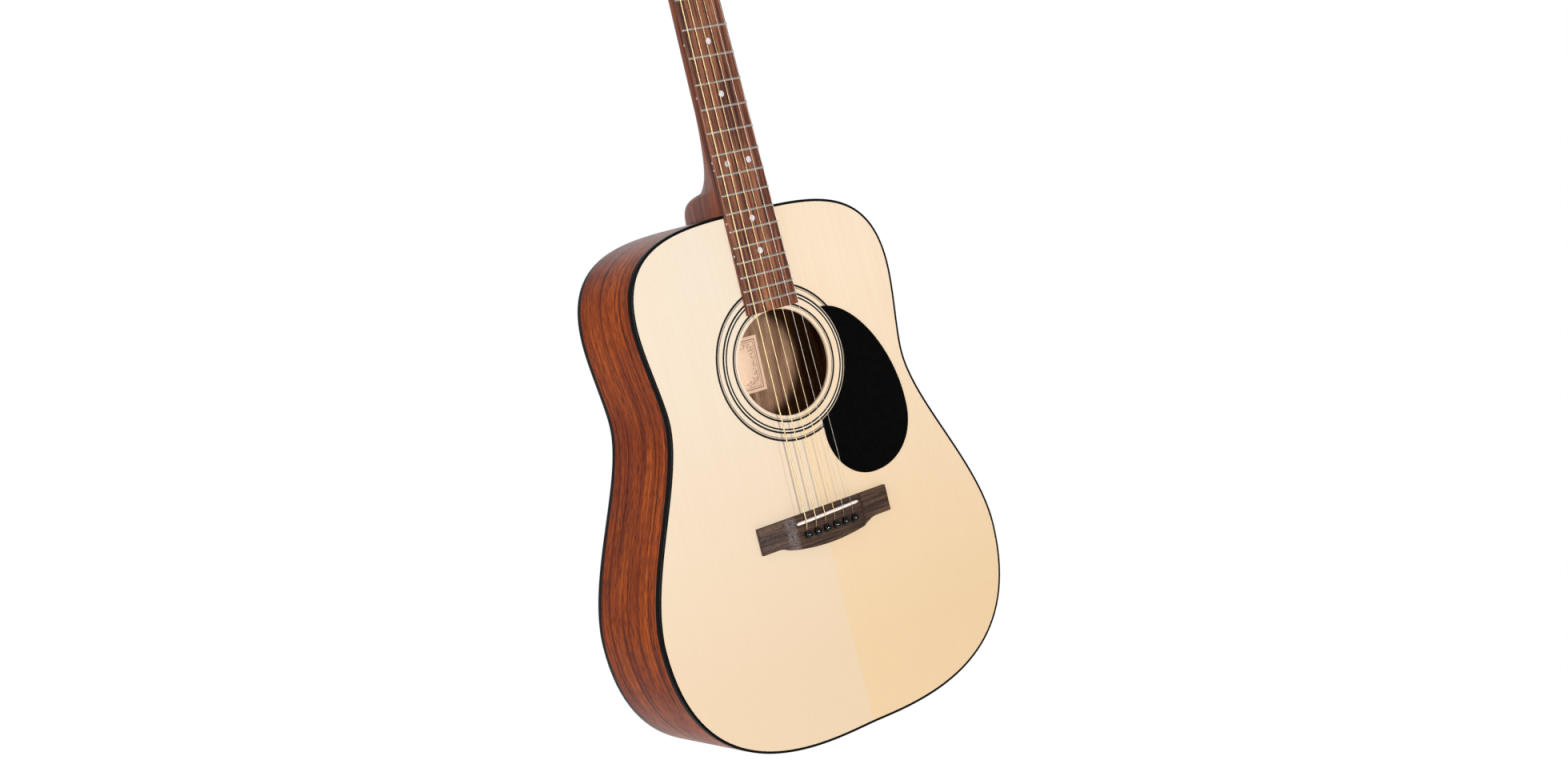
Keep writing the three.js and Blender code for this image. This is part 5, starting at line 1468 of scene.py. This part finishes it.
def tunerPlates(made):
    screwSpots = []
    for side, node in ((-1, "tuner_plate_bass"), (1, "tuner_plate_treble")):
        own = [postSpot(n) for n in range(6) if postSpot(n)[0] == side]
        own.sort(key=lambda s: s[2])
        low, high = own[0], own[-1]
        lean = (high[1] - low[1]) / (high[2] - low[2])

        def at(up):
            return low[1] + (up - low[2]) * lean

        y0, y1 = low[2] - tuner["plateEnd"], high[2] + tuner["plateEnd"] + 3
        half, r, tabHalf = tuner["plateHalf"], 4, 3.5
        outline = []
        far = half - r
        for cx, cy, start in ((far, y1 - r, 0), (-far, y1 - r, 90), (-far, y0 + r, 180), (far, y0 + r, 270)):
            corner = [math.radians(start + 15 * k) for k in range(7)]
            outline += [(at(cy) + cx + r * math.cos(a), cy + r * math.sin(a)) for a in corner]
        parts = [softSlab(
            "plate", outline, plateBack, plateBack + tuner["plate"], 0.35, made["nickel"], headPlace
        )]
        for s in own:
            for end in (-1, 1):
                ex = s[1] + end * tuner["earOut"]
                bend = [math.radians(a) for a in range(180, 361, 12)]
                bottom = [(tabHalf * math.cos(a), wormZ + tabHalf * math.sin(a)) for a in bend]
                tab = [(-tabHalf, plateBack + 0.3), *bottom, (tabHalf, plateBack + 0.3)]
                ear = softSlab("ear", tab, -0.6, 0.6, 0.2, made["nickel"],
                               lambda p, ex=ex, s=s: headPlace((ex + p[2], s[2] + wormUp + p[0], p[1])))
                parts.append(ear)
            screwSpots.append((at(s[2] - 9.5), s[2] - 9.5))
        screwSpots.append((at(y1 - 4.5), y1 - 4.5))
        finish(joined("tunerPlateBass" if side < 0 else "tunerPlateTreble", parts), "guitar", "nickel", node)
    out = headPlace((0, 0, 1)) - headPlace((0, 0, 0))
    screws(made, "plateScrews", [headPlace((x, y, plateBack - 0.02)) for x, y in screwSpots], -out, 2.1)
    screws(made, "coverScrews", [headPlace((0, y, 2.1)) for y in (5.5, 31)], out, 1.7)


# Domed screws with a cross recess, one at each spot, all facing the same way.
def screws(made, name, spots, facing, radius):
    rows = []
    for r, h in ((1, -0.3), (1, 0.05), (0.86, 0.34), (0.6, 0.52), (0.34, 0.6)):
        ring = []
        for k in range(24):
            a = 2 * math.pi * k / 24
            ring.append((r * math.cos(a), r * math.sin(a), h))
        rows.append(ring)
    inner = []
    for k in range(24):
        a = 2 * math.pi * k / 24
        r = 0.34 if k % 6 in (0, 1, 5) else 0.14
        inner.append((r * math.cos(a), r * math.sin(a), 0.58))
    rows.append(inner)
    rows.append([(x * 0.9, y * 0.9, 0.25) for x, y, z in inner])
    screw = skinned(name + "Head", rows, made["nickel"], sharp=40, where=Vector)

    def build(tree, given):
        shape = addNode(tree, "GeometryNodeObjectInfo", {"Object": given["Screw"]}).outputs["Geometry"]
        aimed = outOf(tree, "FunctionNodeAlignRotationToVector", {"Vector": given["Facing"]}, axis="Z")
        return copiesOn(tree, given["Geometry"], shape, given["Metal"], Rotation=aimed, Scale=given["Size"])

    mesh = bpy.data.meshes.new(name)
    mesh.from_pydata(spots, [], [])
    piece = grown(name, mesh, build, {
        "Screw": screw,
        "Facing": tuple(facing.normalized()),
        "Size": (radius / 1000,) * 3,
        "Metal": made["nickel"],
    })
    bpy.data.objects.remove(screw)
    finish(piece, "guitar", "nickel")


strings = {"nutSpread": 36, "saddleSpread": 54.4, "clearance": 0.06, "turns": 2,
           "gauges": (0.305, 0.406, 0.61, 0.81, 1.07, 1.35)}


# The way back: from the maker's directions to the head's own.
def headLocal(p):
    c, s = math.cos(head["tilt"]), math.sin(head["tilt"])
    x, y, z = p
    y -= head["start"]
    return x, y * c - z * s, y * s + z * c


# The points between two ends, at even steps.
def straight(start, end, steps):
    return [tuple(a + (b - a) * k / steps for a, b in zip(start, end)) for k in range(1, steps)]


def stringRun(n):
    r = strings["gauges"][n] / 2
    pinX, sx, nx = (
        spread * (0.5 - n / 5) for spread in (pin["spread"], strings["saddleSpread"], strings["nutSpread"])
    )
    lift = r + strings["clearance"]
    pinY = pin["y"] + pin["shank"] + 0.3 + r
    overSaddle = saddle["top"] - crownDrop(sx) + lift
    nutTop = nut["top"] - crownDrop(nx) + lift
    face, sy = bridge["height"], saddleY(sx)
    pinEnd = (pinX, pinY + 0.9, face + 0.75 + r)
    onSaddle, offSaddle = (sx, sy - 0.6, overSaddle - 0.06), (sx, sy + 0.6, overSaddle)
    run = [(pinX, pinY, 4.0), (pinX, pinY, face - 0.4), (pinX, pinY + 0.25, face + 0.1 + r), pinEnd]
    run += straight(pinEnd, onSaddle, 6) + [onSaddle, (sx, sy, overSaddle + 0.01), offSaddle]
    run += straight(offSaddle, (nx, -0.2, nutTop), 24)
    run += [(nx, -0.2, nutTop), (nx, 1.2, nutTop), (nx, 2.5, nutTop - 0.02)]
    side, px, up, edge = postSpot(n)
    leave = headLocal((nx, 2.5, nutTop))
    wrap = tuner["waist"] + 0.3 + r
    dx, dy = leave[0] - px, leave[1] - up
    way = -side
    meet = math.atan2(dy, dx) + way * math.acos(wrap / math.hypot(dx, dy))
    top = tuner["top"] - 5
    first = (px + wrap * math.cos(meet), up + wrap * math.sin(meet), top)
    run += [alongHead(p) for p in straight(leave, first, 8)]
    perTurn = 28
    for i in range(perTurn * strings["turns"] + 1):
        a = meet + way * 2 * math.pi * i / perTurn
        down = i / perTurn * (2 * r + 0.15)
        run.append(alongHead((px + wrap * math.cos(a), up + wrap * math.sin(a), top - down)))
    return run, r


def tubeAlong(name, run, r, material, sides=12):
    points = [Vector(p) for p in run]
    rows, uvs = [], []
    across, walked = Vector((1, 0, 0)), 0
    for i, p in enumerate(points):
        ahead = points[min(i + 1, len(points) - 1)] - points[max(i - 1, 0)]
        ahead.normalize()
        across = across - ahead * across.dot(ahead)
        across.normalize()
        other = ahead.cross(across)
        if i:
            walked += (p - points[i - 1]).length
        ring = []
        for k in range(sides):
            a = 2 * math.pi * k / sides
            ring.append(tuple(p + r * math.cos(a) * across + r * math.sin(a) * other))
            uvs.append((walked, k / sides))
        rows.append(ring)
    return skinned(name, rows, material, uvs=uvs, sharp=60)


def stringPieces(made):
    for n in range(6):
        run, r = stringRun(n)
        piece = tubeAlong(f"string{n + 1}", run, r, made["plainSteel" if n < 2 else "bronze"])
        finish(piece, "guitar", "plain_steel" if n < 2 else "bronze_wound", f"string_{n + 1}")


keptNodes = {
    "spruceBrace": ("x_brace_bass", "x_brace_treble", "tone_bar_upper", "tone_bar_lower", "transverse_brace",
                    "back_brace_1", "back_brace_2", "back_brace_3", "back_brace_4"),
    "mahoganyInside": ("neck_block", "tail_block", "bridge_plate"),
    "rodSteel": ("truss_rod", "truss_rod_nut"),
}


def paintKept(made):
    for material, names in keptNodes.items():
        for name in names:
            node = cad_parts[name]
            for slot in node.material_slots:
                slot.material = made[material]


makeCamera()
makeStudio()
studioFloor()
made = makeMaterials()
soundboards(made)
bindings(made)
sides(made)
backPlate(made)
rosette(made)
insideLabel()
kerfedLinings(made)
print("sound box made")
bridgePiece(made)
saddlePiece(made)
bridgePins(made)
pickguardPiece(made)
strapButtonPiece(made)
print("bridge and fittings made")
neckPiece(made)
fingerboardPiece(made)
fretWires(made)
positionDots(made)
nutPiece(made)
rodCover(made)
print("neck made")
tunerPieces(made)
tunerPlates(made)
stringPieces(made)
print("tuners and strings made")
paintKept(made)
